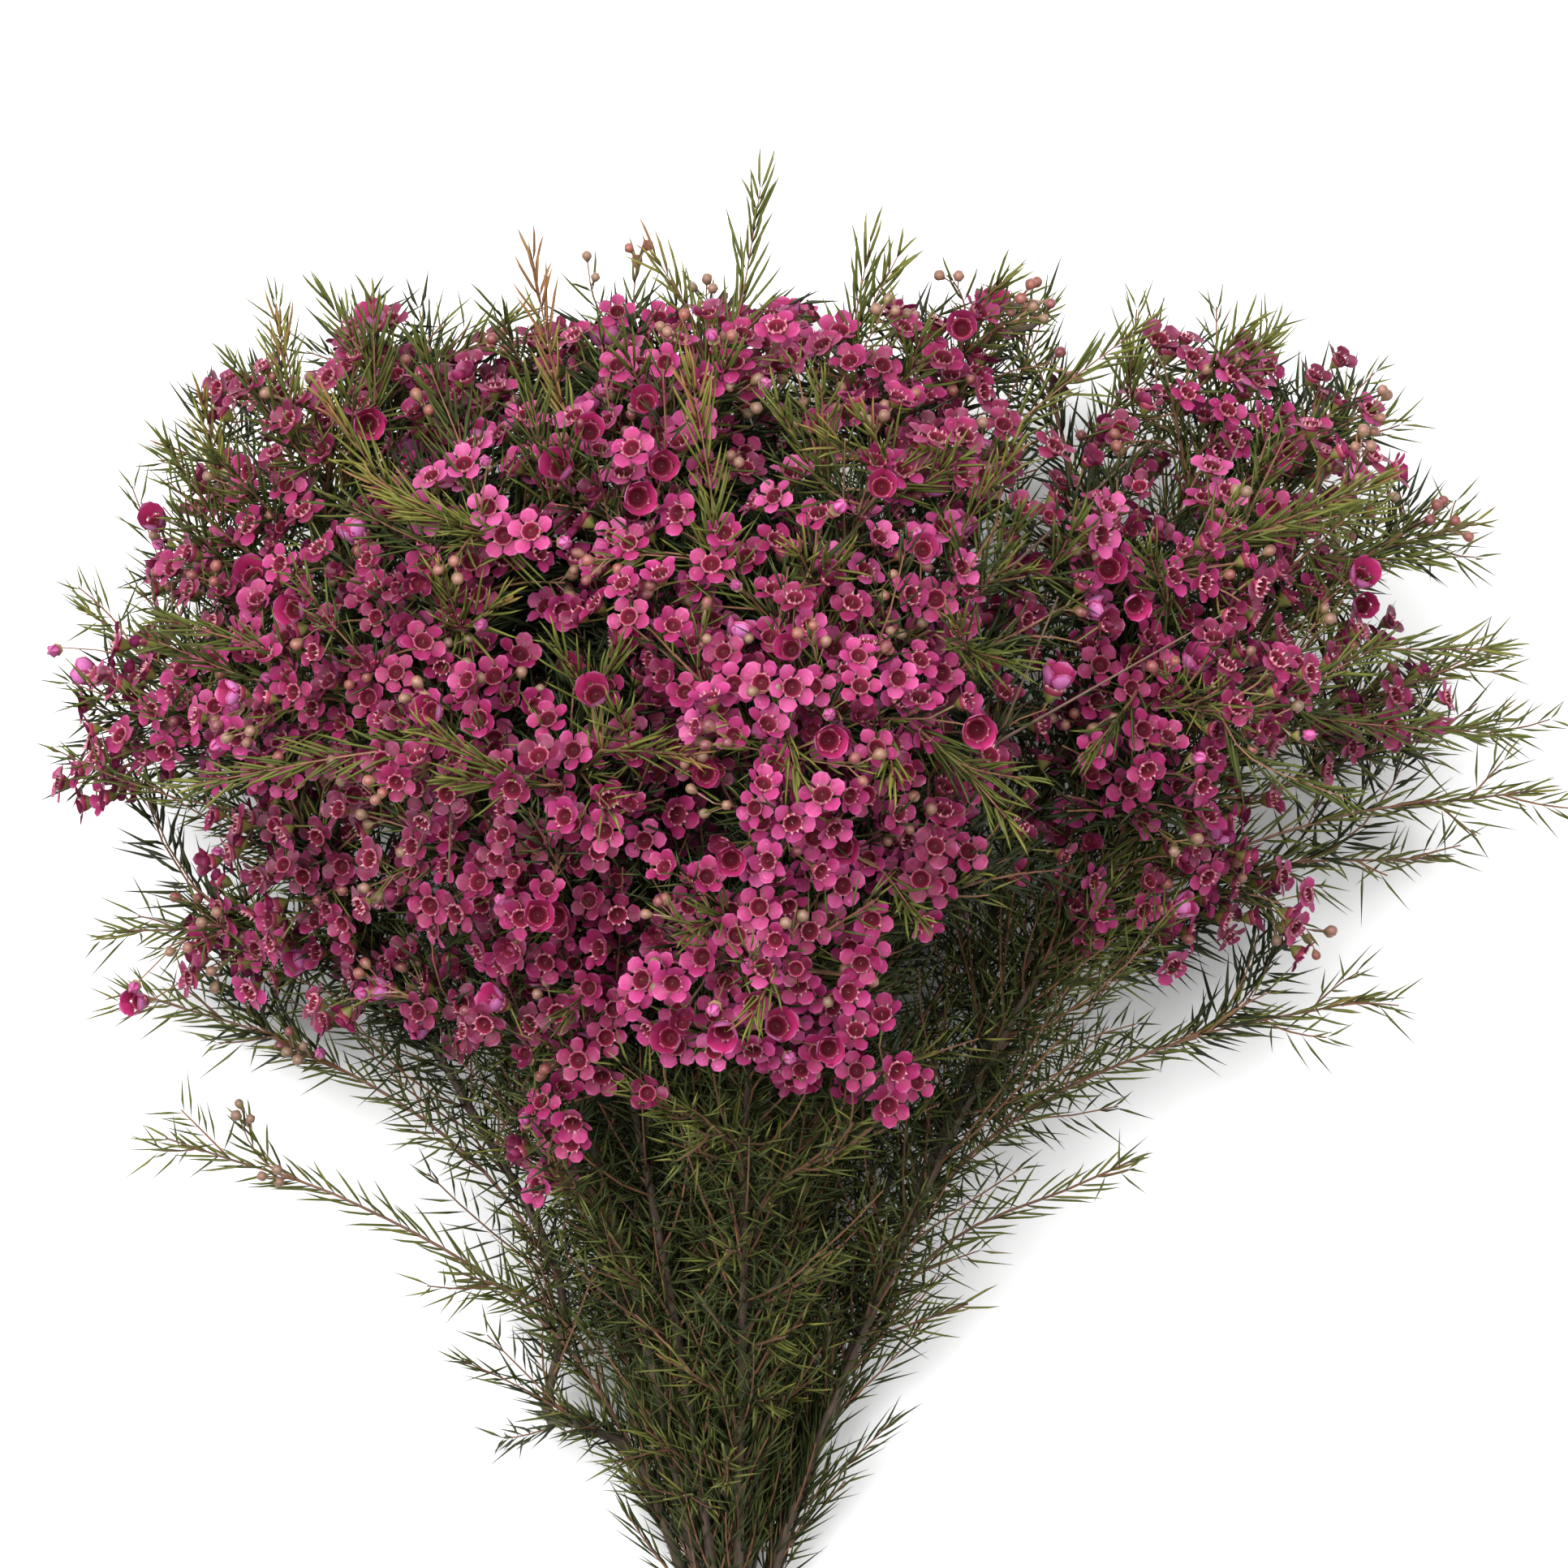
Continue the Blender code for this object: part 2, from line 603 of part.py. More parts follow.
def tie(collection, material):
    """The elastic tie: turns of band side by side, flattened where the bunch rests on it."""
    outline = [Vector((TIE_BORE, -TIE_WIDTH / 2)), Vector((TIE_BORE, TIE_WIDTH / 2))]
    turn = TIE_WIDTH / TIE_TURNS
    for i in range(TIE_TURNS):
        crown = TIE_WIDTH / 2 - turn * i
        outline.append(Vector((TIE_BORE + TIE_THICKNESS * 0.6, crown)))
        outline.append(Vector((TIE_BORE + TIE_THICKNESS, crown - turn * 0.5)))
    outline.append(Vector((TIE_BORE + TIE_THICKNESS * 0.6, -TIE_WIDTH / 2)))
    bm = bmesh.new()
    verts = [bm.verts.new((radius, along, 0)) for radius, along in outline]
    edges = [bm.edges.new(pair) for pair in zip(verts, verts[1:] + verts[:1])]
    bmesh.ops.spin(
        bm, geom=verts + edges, cent=(0, 0, 0), axis=(0, 1, 0), angle=math.tau,
        steps=TIE_SIDES, use_merge=True,
    )
    half_step = Matrix.Rotation(math.pi / TIE_SIDES, 4, "Y")
    bmesh.ops.transform(bm, matrix=Matrix.Translation((0, 0, BUNDLE_HEIGHT)) @ half_step, verts=bm.verts)
    cut = bmesh.ops.bisect_plane(
        bm, geom=bm.verts[:] + bm.edges[:] + bm.faces[:], plane_co=(0, 0, 0), plane_no=(0, 0, -1),
        clear_outer=True,
    )
    bmesh.ops.holes_fill(bm, edges=[e for e in cut["geom_cut"] if isinstance(e, bmesh.types.BMEdge)])
    bmesh.ops.recalc_face_normals(bm, faces=bm.faces)
    as_object(bm, "tie", collection).data.materials.append(material)


def build():
    for obj in list(bpy.data.objects):
        bpy.data.objects.remove(obj)
    bunch = bpy.data.collections.new("waxflower_bunch")
    repeats = bpy.data.collections.new("repeats")
    for collection in (bunch, repeats):
        bpy.context.scene.collection.children.link(collection)
    draw = random.Random(SEED)
    green = finish("leaf_and_bark", LEAF_GREEN, 0.6)
    pink = finish("petal", PETAL_PINK, 0.5)
    room, stems, leafy, carriers, heads = grow(draw)

    flower = flower_mesh()
    flowers = {owner: place_flowers(room, owner, branches, draw) for owner, branches in heads}
    for number, (owner, branches) in enumerate(heads, 1):
        base = plain_twig(branches[0], bunch)
        for branch in branches[1:]:
            plain_twig(branch, repeats)
        for root, facing, turn in flowers[owner]:
            bloom = bpy.data.objects.new("flower", flower)
            bloom.matrix_world = facing_matrix(root - facing * 0.5 * MM, facing, turn)
            repeats.objects.link(bloom)
        united(base, repeats, f"flower_head_{number:02d}", pink, bunch)

    for owner, stem in enumerate(stems):
        taper = [STEM_RADIUS + (STEM_TIP_RADIUS - STEM_RADIUS) * i / STEM_STEPS for i in range(STEM_STEPS + 1)]
        bm, _ = tube(stem["points"], [STEM_RADIUS, STEM_RADIUS, *taper], STEM_SIDES)
        base = as_object(bm, "stem", bunch)
        for host, twig, whorls in leafy:
            if host == owner:
                leafy_twig(room, owner, twig, whorls, repeats, draw)
        for host, twig in carriers:
            if host == owner:
                plain_twig(twig, repeats, (TWIG_RADIUS, TWIG_RADIUS))
        united(base, repeats, f"stem_{owner + 1:02d}", green, bunch)
    tie(bunch, finish("elastic", ELASTIC_TAN, 0.7))
    bpy.data.meshes.remove(flower)
    bpy.data.collections.remove(repeats)


build()
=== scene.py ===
"""A cut bunch of pink waxflower, lying on its side and seen from straight above.

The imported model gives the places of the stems, the twigs and the larger flowers.  This script
reads their middle lines and dresses them with bark, needle leaves and true-size flowers.

Metres.  +Y runs from the cut ends to the flowers, and +Z is up.
"""

import itertools
import math
import random

import bmesh
import bpy
import numpy as np
from mathutils import Matrix, Quaternion, Vector
from mathutils.geometry import intersect_point_line
from mathutils.kdtree import KDTree


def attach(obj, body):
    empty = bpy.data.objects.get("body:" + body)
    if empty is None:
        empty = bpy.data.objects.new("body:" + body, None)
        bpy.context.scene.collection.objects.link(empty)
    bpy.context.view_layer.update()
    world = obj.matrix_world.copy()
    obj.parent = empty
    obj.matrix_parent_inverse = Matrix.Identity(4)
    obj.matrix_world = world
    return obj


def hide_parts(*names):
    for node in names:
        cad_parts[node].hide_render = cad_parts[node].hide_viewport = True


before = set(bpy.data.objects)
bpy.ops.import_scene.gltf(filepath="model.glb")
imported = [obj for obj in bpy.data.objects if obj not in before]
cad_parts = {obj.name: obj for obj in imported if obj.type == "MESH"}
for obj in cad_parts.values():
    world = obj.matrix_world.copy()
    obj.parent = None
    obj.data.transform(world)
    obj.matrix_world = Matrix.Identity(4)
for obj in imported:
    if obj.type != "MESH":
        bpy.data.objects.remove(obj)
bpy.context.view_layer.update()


# The camera looks straight down on the bunch, from 1.8 m over the surface that it lies on.
# Its frame is the photograph's, so that a pixel of the photograph can be found on the bunch.
MM = 0.001
PHOTO_SIDE = 1932
CAMERA_PLACE = Vector((0.0206, 0.340, 1.8))
LENS = 107.0
SENSOR = 36.0

camera = bpy.data.objects.new("camera", bpy.data.cameras.new("camera"))
camera.data.sensor_width = SENSOR
camera.data.lens = LENS
camera.location = CAMERA_PLACE
bpy.context.scene.collection.objects.link(camera)
bpy.context.scene.camera = camera


def pixels_per_metre(height):
    """The photograph's scale at a height over the floor."""
    return PHOTO_SIDE * LENS / SENSOR / (CAMERA_PLACE.z - height)


def seen_at(point):
    """The photograph's pixel at which a point shows."""
    scale = pixels_per_metre(point.z)
    across = PHOTO_SIDE / 2 + (point.x - CAMERA_PLACE.x) * scale
    return Vector((across, PHOTO_SIDE / 2 - (point.y - CAMERA_PLACE.y) * scale))


# The woody stems: grey-brown bark with fine lengthwise cracks, redder on the younger wood.
# Each has grown as one piece with its side twigs.
TIE_END = 12 * MM
STEM_STEP = 9 * MM
TWIG_STEP = 12 * MM
STEM_RADIUS = 2.05 * MM
STEM_TIP_RADIUS = 1.0 * MM
STEM_SIDES = 8
TWIG_RADIUS = 0.85 * MM
TWIG_TIP_RADIUS = 0.42 * MM
TWIG_SIDES = 5
TWIG_SINK = 2 * MM
TWIG_TOP = 372
KNOT_SWELL = 0.16
OLD_WOOD = 0.15
TWIG_WOOD = 0.75
SHOOT_WOOD = 1.0
PACKED_STEM_SIDES = 5
PACKED_TWIG_SIDES = 3
PACKED_TWIG_RADII = (0.8 * MM, 1.0 * MM)
SHORTEST_EDGE = 4 * MM
SHORTEST_PART = 14 * MM
SAME_LINE = 1.4 * MM
CORNER_SLACK = 0.2
GAP_IN_LINE = 3.5 * MM
TURN_IN_LINE = 0.8

draw = random.Random(7)


def merged(node):
    """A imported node's triangles with their corners joined."""
    bm = bmesh.new()
    bm.from_mesh(node.data)
    bmesh.ops.remove_doubles(bm, verts=bm.verts, dist=1e-6)
    bm.normal_update()
    return bm


def middle_lines(node, sides, thinnest, thickest):
    """The middle lines of a node's tubes with this many sides, one for each straight part.

    Each long corner edge of a tube lies at its radius from the middle line.  Both ends are
    given, the one closer to the tie first.
    """
    bm = merged(node)
    found = []
    for edge in bm.edges:
        if len(edge.link_faces) != 2 or edge.calc_length() < SHORTEST_EDGE:
            continue
        if abs(edge.calc_face_angle() - math.tau / sides) > CORNER_SLACK:
            continue
        normal = (edge.link_faces[0].normal + edge.link_faces[1].normal).normalized()
        width = max(2 * face.calc_area() / edge.calc_length() for face in edge.link_faces)
        radius = min(max(width / (2 * math.sin(math.pi / sides)), thinnest), thickest)
        ends = [vert.co - normal * radius for vert in edge.verts]
        found.append(sorted(ends, key=lambda end: end.length))
    bm.free()
    kept = []
    for start, end in sorted(found, key=lambda ends: -(ends[1] - ends[0]).length):
        middle = start.lerp(end, 0.5)
        for known in kept:
            closest, share = intersect_point_line(middle, *known)
            if (closest - middle).length < SAME_LINE and -0.1 < share < 1.1:
                break
        else:
            kept.append((start, end))
    return kept


def joined_lines(parts):
    """Straight parts joined end to end where the next one goes on from the last."""
    lines = []
    for start, end in sorted(parts, key=lambda ends: ends[0].length):
        for line in lines:
            turn = (line[-1] - line[-2]).angle(end - start)
            if (start - line[-1]).length < GAP_IN_LINE and turn < TURN_IN_LINE:
                line.append(end)
                break
        else:
            lines.append([start, end])
    return lines


def path_length(points):
    return sum((b - a).length for a, b in zip(points, points[1:]))


def resampled(points, step):
    """A smooth path through the points, with a point about every step."""
    ends = [points[0] * 2 - points[1], *points, points[-1] * 2 - points[-2]]
    found = [points[0]]
    for before, start, end, after in zip(ends, ends[1:], ends[2:], ends[3:]):
        count = max(1, round((end - start).length / step))
        for i in range(1, count + 1):
            t = i / count
            curve = start * 2 + (end - before) * t
            curve += (before * 2 - start * 5 + end * 4 - after) * t**2
            curve += (start * 3 - before - end * 3 + after) * t**3
            found.append(curve / 2)
    return found


def stem_line(node):
    """The middle line of a stem, from its cut end to its tip."""
    parts = middle_lines(node, PACKED_STEM_SIDES, STEM_TIP_RADIUS, STEM_RADIUS)
    ends = sorted((end for part in parts for end in part), key=lambda end: end.y)
    points = [ends[0]]
    for end in ends[1:]:
        if (end - points[-1]).length > SHORTEST_PART:
            points.append(end)
    return points


def headings_of(points):
    ends = [points[0], *points, points[-1]]
    return [(after - before).normalized() for before, after in zip(ends, ends[2:])]


def tapered(first, last, count):
    return [first + (last - first) * i / (count - 1) for i in range(count)]


def mesh_of(bm, name):
    """The mesh of a finished shape."""
    mesh = bpy.data.meshes.new(name)
    bm.to_mesh(mesh)
    bm.free()
    return mesh


def join(bm, part):
    """Adds one closed shape to others, facing outwards."""
    bmesh.ops.recalc_face_normals(part, faces=part.faces)
    made = mesh_of(part, "part")
    bm.from_mesh(made)
    bpy.data.meshes.remove(made)


def corners(sides):
    turns = [math.tau * k / sides for k in range(sides)]
    return [(math.cos(turn), math.sin(turn)) for turn in turns]


def rings(bm, rows):
    """Grows a closed shape through rows of corners.

    Each corner is a point and what the attribute named place holds there.
    """
    layer = bm.verts.layers.float_vector.new("place")
    circle = bmesh.ops.create_circle(bm, cap_ends=True, segments=len(rows[0]), radius=1)
    face = circle["verts"][0].link_faces[0]
    root = face.verts[:]
    for i, row in enumerate(rows):
        if i:
            face = bmesh.ops.extrude_discrete_faces(bm, faces=[face])["faces"][0]
        for vert, (point, mark) in zip(face.verts, row):
            vert.co = point
            vert[layer] = mark
    bm.faces.new(root)


def limb(bm, points, radii, sides, youth):
    """Adds a closed round tube along a path.

    Its place attribute holds how far round it a point is, how far along it in metres, and
    how young its wood is.
    """
    headings = headings_of(points)
    side = headings[0].orthogonal().normalized()
    rows = []
    before, along = points[0], 0.0
    for point, heading, radius in zip(points, headings, radii):
        along += (point - before).length
        before = point
        side = (side - heading * side.dot(heading)).normalized()
        up = heading.cross(side)
        row = []
        for k, (x, y) in enumerate(corners(sides)):
            row.append((point + (side * x + up * y) * radius, (k / sides, along, youth)))
        rows.append(row)
    tube = bmesh.new()
    rings(tube, rows)
    join(bm, tube)


def piece(bm, name, material, sharp=math.radians(60)):
    """A finished piece, with its place in its mesh and nothing of it under the floor."""
    for vert in bm.verts:
        vert.co.z = max(vert.co.z, 0)
    mesh = mesh_of(bm, name)
    mesh.materials.append(material)
    mesh.shade_smooth()
    mesh.set_sharp_from_angle(angle=sharp)
    obj = bpy.data.objects.new(name, mesh)
    bpy.context.scene.collection.objects.link(obj)
    return obj


class Finish:
    """A material that is built up node by node from its pattern to its shader."""

    def __init__(self, name):
        self.material = bpy.data.materials.new(name)
        self.material.use_nodes = True
        self.tree = self.material.node_tree
        self.shader = self.tree.nodes["Principled BSDF"]

    def node(self, kind, inputs=(), **settings):
        made = self.tree.nodes.new(kind)
        for name, value in settings.items():
            setattr(made, name, value)
        for name, value in dict(inputs).items():
            if isinstance(value, bpy.types.NodeSocket):
                self.tree.links.new(value, made.inputs[name])
            else:
                made.inputs[name].default_value = value
        return made

    def place(self):
        """The piece's own coordinates, as three outputs."""
        held = self.node("ShaderNodeAttribute", attribute_name="place")
        return self.node("ShaderNodeSeparateXYZ", {"Vector": held.outputs["Vector"]}).outputs

    def noise(self, scale, detail=3.0, vector=None):
        if vector is None:
            vector = self.node("ShaderNodeTexCoord").outputs["Object"]
        inputs = {"Vector": vector, "Scale": scale, "Detail": detail}
        return self.node("ShaderNodeTexNoise", inputs).outputs["Fac"]

    def ramp(self, value, *stops):
        made = self.node("ShaderNodeValToRGB", {"Fac": value})
        elements = made.color_ramp.elements
        elements.remove(elements[1])
        elements[0].position = stops[0][0]
        for i, (position, colour) in enumerate(stops):
            element = elements.new(position) if i else elements[0]
            element.color = (*colour, 1) if isinstance(colour, tuple) else (colour,) * 3 + (1,)
        return made.outputs["Color"]

    def mixed(self, factor, first, second, blend="MIX"):
        colours = [(*value, 1) if isinstance(value, tuple) else value for value in (first, second)]
        inputs = {0: factor, 6: colours[0], 7: colours[1]}
        made = self.node("ShaderNodeMix", inputs, data_type="RGBA", blend_type=blend)
        return made.outputs[2]

    def vector(self, x, y, z):
        parts = {"X": x, "Y": y, "Z": z}
        return self.node("ShaderNodeCombineXYZ", parts).outputs["Vector"]

    def times(self, value, factor):
        made = self.node("ShaderNodeMath", {0: value, 1: factor}, operation="MULTIPLY")
        return made.outputs["Value"]

    def surface(self, colour, roughness, height, depth, specular=0.5):
        """Ties a colour, a roughness and a relief of this depth to the shader."""
        inputs = {"Height": height, "Distance": depth, "Strength": 0.6}
        normal = self.node("ShaderNodeBump", inputs).outputs["Normal"]
        for name, value in (("Base Color", colour), ("Roughness", roughness), ("Normal", normal)):
            self.tree.links.new(value, self.shader.inputs[name])
        self.shader.inputs["Specular IOR Level"].default_value = specular


bark = Finish("waxflower_bark")
around, along, youth = bark.place()
cracks = bark.noise(1.0, 4.0, bark.vector(bark.times(around, 9.0), bark.times(along, 90.0), youth))
mottle = bark.noise(160.0)
old_wood = bark.ramp(cracks, (0.3, (0.030, 0.019, 0.013)), (0.7, (0.15, 0.105, 0.075)))
young_wood = bark.ramp(cracks, (0.3, (0.11, 0.045, 0.022)), (0.7, (0.31, 0.15, 0.075)))
bare_wood = bark.ramp(cracks, (0.3, (0.09, 0.05, 0.033)), (0.7, (0.21, 0.13, 0.09)))
wood = bark.mixed(bark.ramp(youth, (0.15, 0.0), (0.5, 1.0)), old_wood, bare_wood)
wood = bark.mixed(bark.ramp(youth, (0.55, 0.0), (0.9, 1.0)), wood, young_wood)
wood = bark.mixed(mottle, wood, (0.62, 0.56, 0.50), "MULTIPLY")
bark.surface(wood, bark.ramp(cracks, (0.2, 0.85), (0.8, 0.6)), cracks, 0.35 * MM)


def twig_lines(names):
    """The middle lines of the twigs of each of these nodes."""
    nodes = [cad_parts[name] for name in names]
    return [joined_lines(middle_lines(node, PACKED_TWIG_SIDES, *PACKED_TWIG_RADII)) for node in nodes]


stem_names = sorted(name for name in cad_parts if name.startswith("stem_"))
head_names = sorted(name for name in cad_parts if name.startswith("flower_head_"))
stems = [resampled(stem_line(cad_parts[name]), STEM_STEP) for name in stem_names]
stem_twigs = twig_lines(stem_names)
head_twigs = twig_lines(head_names)
for twig in [twig for twigs in stem_twigs for twig in twigs]:
    while len(twig) > 2 and seen_at(twig[-1]).y < TWIG_TOP:
        twig.pop()
    if seen_at(twig[-1]).y < TWIG_TOP:
        twig[-1] = twig[0].lerp(twig[-1], 0.5)

wood_meshes = []
for points, twigs in zip(stems, stem_twigs):
    bm = bmesh.new()
    radii = []
    for point in points:
        share = max(0.0, min(1.0, (point.y - TIE_END) / max(points[-1].y - TIE_END, MM)))
        radius = STEM_RADIUS + (STEM_TIP_RADIUS - STEM_RADIUS) * share
        radii.append(radius * (1 + draw.uniform(-0.03, KNOT_SWELL) * (share > 0)))
    limb(bm, points, radii, STEM_SIDES, OLD_WOOD)
    for twig in twigs:
        path = resampled(twig, TWIG_STEP)
        path.insert(0, path[0] - (path[1] - path[0]).normalized() * TWIG_SINK)
        limb(bm, path, tapered(TWIG_RADIUS, TWIG_TIP_RADIUS, len(path)), TWIG_SIDES, TWIG_WOOD)
    wood_meshes.append(bm)


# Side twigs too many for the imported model: thin orange-brown shoots off the stems, up the
# neck and out under the flowers, each with its pairs of needle leaves.
GOLDEN_ANGLE = math.pi * (3 - math.sqrt(5))
SHOOT_SPACING = 7.2 * MM
FIRST_SHOOT = 22 * MM
TWIG_SHOOT_SPACING = 17 * MM
SHOOT_LENGTH = 20 * MM
SHOOT_GROWTH = 52 * MM
GROWN_FROM = 0.16
BEND = 0.45
SHOOT_RADIUS = 0.55 * MM
SHOOT_TIP_RADIUS = 0.32 * MM
LOWEST = 1.5 * MM
NECK_TOP = 1310
NECK_LEFT = 640
NECK_RIGHT = 1090
NECK_THINNING = 0.6
OPEN_PLACES = ((1345, 450, 62, 120), (1265, 480, 40, 60), (1640, 1010, 120, 60), (150, 1040, 110, 60))
BUNCH_CORE = (860, 770, 430, 320)
NECK_END = 0.24
NECK_TINT = 0.13
# The leaf tint inside the bunch's core is darkened as painted shade.
CORE_SHADE_TINT = -0.05
PALE_TINT = 0.28
TWIG_SHOOT_TINT = 0.5


def arc(start, bend, end, steps):
    shares = (i / steps for i in range(steps + 1))
    return [start * (1 - t) ** 2 + bend * (2 * t * (1 - t)) + end * t**2 for t in shares]


def any_way(spread=1.0):
    return Vector((draw.gauss(0, 1), draw.gauss(0, 1), draw.gauss(0, 1))) * spread


def sideways(heading, turn):
    """A direction across a heading, turned round it."""
    return Quaternion(heading, turn) @ heading.orthogonal().normalized()


def within(ellipse, column, row):
    """Whether a pixel lies in an ellipse: its middle, half its width and half its height."""
    across, down, half_width, half_height = ellipse
    return ((column - across) / half_width) ** 2 + ((row - down) / half_height) ** 2 < 1


def open_place(point):
    """Whether a point shows where the photograph has a gap between the twigs."""
    column, row = seen_at(point)
    if row < TWIG_TOP:
        return True
    low = row - NECK_TOP
    if low > 0 and not NECK_LEFT + low * 0.22 < column < NECK_RIGHT - low * 0.15:
        return draw.random() < NECK_THINNING
    return any(within(place, column, row) for place in OPEN_PLACES)


def tint_by_core_shade(point, inside, outside):
    """One tint for leaves deep in the bunch, darkened there as painted shade, and another for those towards
    its outline.
    """
    return inside if within(BUNCH_CORE, *seen_at(point)) else outside


def shoot(start, heading, side, length, lean):
    """A curved side twig that leaves its stem sideways and turns along it, if it has room."""
    out = heading * math.cos(lean) + side * math.sin(lean)
    bend = start + out * length * BEND
    turned = lean * draw.uniform(0.45, 1.0)
    end = start + (heading * math.cos(turned) + side * math.sin(turned)) * length
    end += any_way(length * 0.06)
    end.z = max(end.z, LOWEST * 3)
    path = arc(start, bend, end, 4)
    return path if min(point.z for point in path) > LOWEST and not open_place(end) else None


shoots = []
for owner, points in enumerate(stems):
    headings = headings_of(points)
    travelled = 0.0
    next_at = FIRST_SHOOT + draw.uniform(0, SHOOT_SPACING)
    turn = draw.uniform(0, math.tau)
    for before, point, heading in zip(points, points[1:], headings[1:]):
        if point.y < TIE_END:
            continue
        travelled += (point - before).length
        while travelled > next_at:
            turn += GOLDEN_ANGLE
            growth = min(1.0, point.y / GROWN_FROM)
            length = (SHOOT_LENGTH + SHOOT_GROWTH * growth) * draw.uniform(0.7, 1.3)
            start = point.lerp(before, draw.random())
            lean = math.radians(draw.uniform(26, 56) * (0.35 + 0.65 * growth))
            path = shoot(start, heading, sideways(heading, turn), length, lean)
            if path:
                tint = NECK_TINT if start.y < NECK_END else tint_by_core_shade(path[-1], CORE_SHADE_TINT, PALE_TINT)
                shoots.append((owner, path, tint))
            next_at += SHOOT_SPACING * draw.uniform(0.6, 1.4)

for owner, twigs in enumerate(stem_twigs):
    for twig in twigs:
        run = resampled(twig, TWIG_SHOOT_SPACING)
        for point, heading in list(zip(run, headings_of(run)))[1:-1]:
            turn += GOLDEN_ANGLE
            length = draw.uniform(14, 32) * MM
            path = shoot(point, heading, sideways(heading, turn), length, draw.uniform(0.45, 0.9))
            if path:
                shoots.append((owner, path, TWIG_SHOOT_TINT))

for owner, path, _ in shoots:
    limb(wood_meshes[owner], path, tapered(SHOOT_RADIUS, SHOOT_TIP_RADIUS, len(path)), 3, SHOOT_WOOD)

for name, bm in zip(stem_names, wood_meshes):
    stem = piece(bm, f"{name}_wood", bark.material)
    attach(stem, "root")
    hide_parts(name)


# The elastic tie: a few turns of tan rubber band round the stems near their cut ends.
rubber = Finish("tie_rubber")
grain = rubber.noise(900.0, 5.0)
patches = rubber.noise(90.0)
tan = rubber.ramp(patches, (0.3, (0.48, 0.33, 0.17)), (0.7, (0.66, 0.49, 0.28)))
rubber.surface(tan, rubber.ramp(grain, (0.3, 0.5), (0.7, 0.75)), grain, 0.05 * MM)
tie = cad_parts["tie"]
tie.data.materials.clear()
tie.data.materials.append(rubber.material)


# The needle leaves: stiff, narrow and three-sided, in pairs that turn a quarter at each
# node.  They are dark green in the neck, and olive to yellow-green at the tips.
NEEDLE_LENGTH = 21 * MM
NEEDLE_WIDTH = 0.58 * MM
NEEDLE_BOW = 0.11
PAIR_SPACING = 5.4 * MM
CLOSE_SPACING = 2.6 * MM
LOW_LEANS = (14, 40)
NECK_LEANS = (42, 88)
SHOOT_LEANS = (32, 66)
LOW_END = 0.1
NECK_LEAN_END = 0.22


def closed_mesh(bm, name):
    """The mesh of a closed shape, its pointed ends merged and its faces outwards."""
    bmesh.ops.remove_doubles(bm, verts=bm.verts, dist=0.02 * MM)
    bmesh.ops.recalc_face_normals(bm, faces=bm.faces)
    return mesh_of(bm, name)


def needle_mesh(stations):
    """One leaf along +Z, curved towards +X, from pairs of height share and width share."""
    rows = []
    for height, width in stations:
        half = NEEDLE_WIDTH * width
        bow = height**2 * NEEDLE_LENGTH * NEEDLE_BOW
        top = height * NEEDLE_LENGTH
        rows.append([((x * half + bow, y * half, top), (0, height, 0)) for x, y in corners(3)])
    bm = bmesh.new()
    rings(bm, rows)
    return closed_mesh(bm, "needle")


def sow(bm, template, places):
    """Adds a copy of a template at each place: a matrix and a tint."""
    shape = np.empty(len(template.vertices) * 3)
    template.vertices.foreach_get("co", shape)
    held = template.attributes["place"].data
    marks = np.empty(len(template.vertices) * 3)
    held.foreach_get("vector", marks)
    for matrix, tint in places:
        turned = shape.reshape(-1, 3) @ np.array(matrix.to_3x3()).T + np.array(matrix.translation)
        template.vertices.foreach_set("co", turned.ravel())
        marks[2::3] = tint
        held.foreach_set("vector", marks)
        bm.from_mesh(template)
    template.vertices.foreach_set("co", shape)


def looking(place, facing, side, scale=(1, 1, 1)):
    """The matrix that puts a template at a place, its +Z along facing and its +X by side."""
    across = (side - facing * side.dot(facing)).normalized()
    turned = Matrix((across, facing.cross(across), facing)).transposed()
    return Matrix.Translation(place) @ (turned @ Matrix.Diagonal(scale)).to_4x4()


def dress(bm, needle, points, bare, spacing, tint, leans, size=1.0, lighter=0.25):
    """Adds pairs of leaves along a twig, past its bare root and lighter towards its tip."""
    found = []
    path = resampled(points, 2 * MM)
    headings = headings_of(path)
    total = path_length(path)
    travelled, next_at, pair = 0.0, bare, 0
    for i in range(1, len(path)):
        travelled += (path[i] - path[i - 1]).length
        if travelled < next_at:
            continue
        next_at += spacing * draw.uniform(0.7, 1.3)
        share = travelled / total
        heading = headings[i]
        turn = pair * math.pi / 2 + draw.uniform(-0.5, 0.5)
        pair += 1
        side = sideways(heading, turn)
        for way in (1, -1):
            lean = math.radians(draw.uniform(*leans)) * (1 - 0.4 * share**3)
            facing = heading * math.cos(lean) + side * way * math.sin(lean)
            length = draw.uniform(0.7, 1.25) * size * (1 - 0.4 * share**4)
            width = max(1.0, size**2)
            reach = NEEDLE_LENGTH * length
            if path[i].z + facing.z * reach < LOWEST:
                facing.z = (LOWEST - path[i].z) / reach
                facing.normalize()
            shade = min(1.0, max(0.0, tint + lighter * share**2 + draw.gauss(0, 0.09)))
            bow = any_way(0.6) + heading
            found.append((looking(path[i], facing, bow, (width, width, length)), shade))
    sow(bm, needle, found)


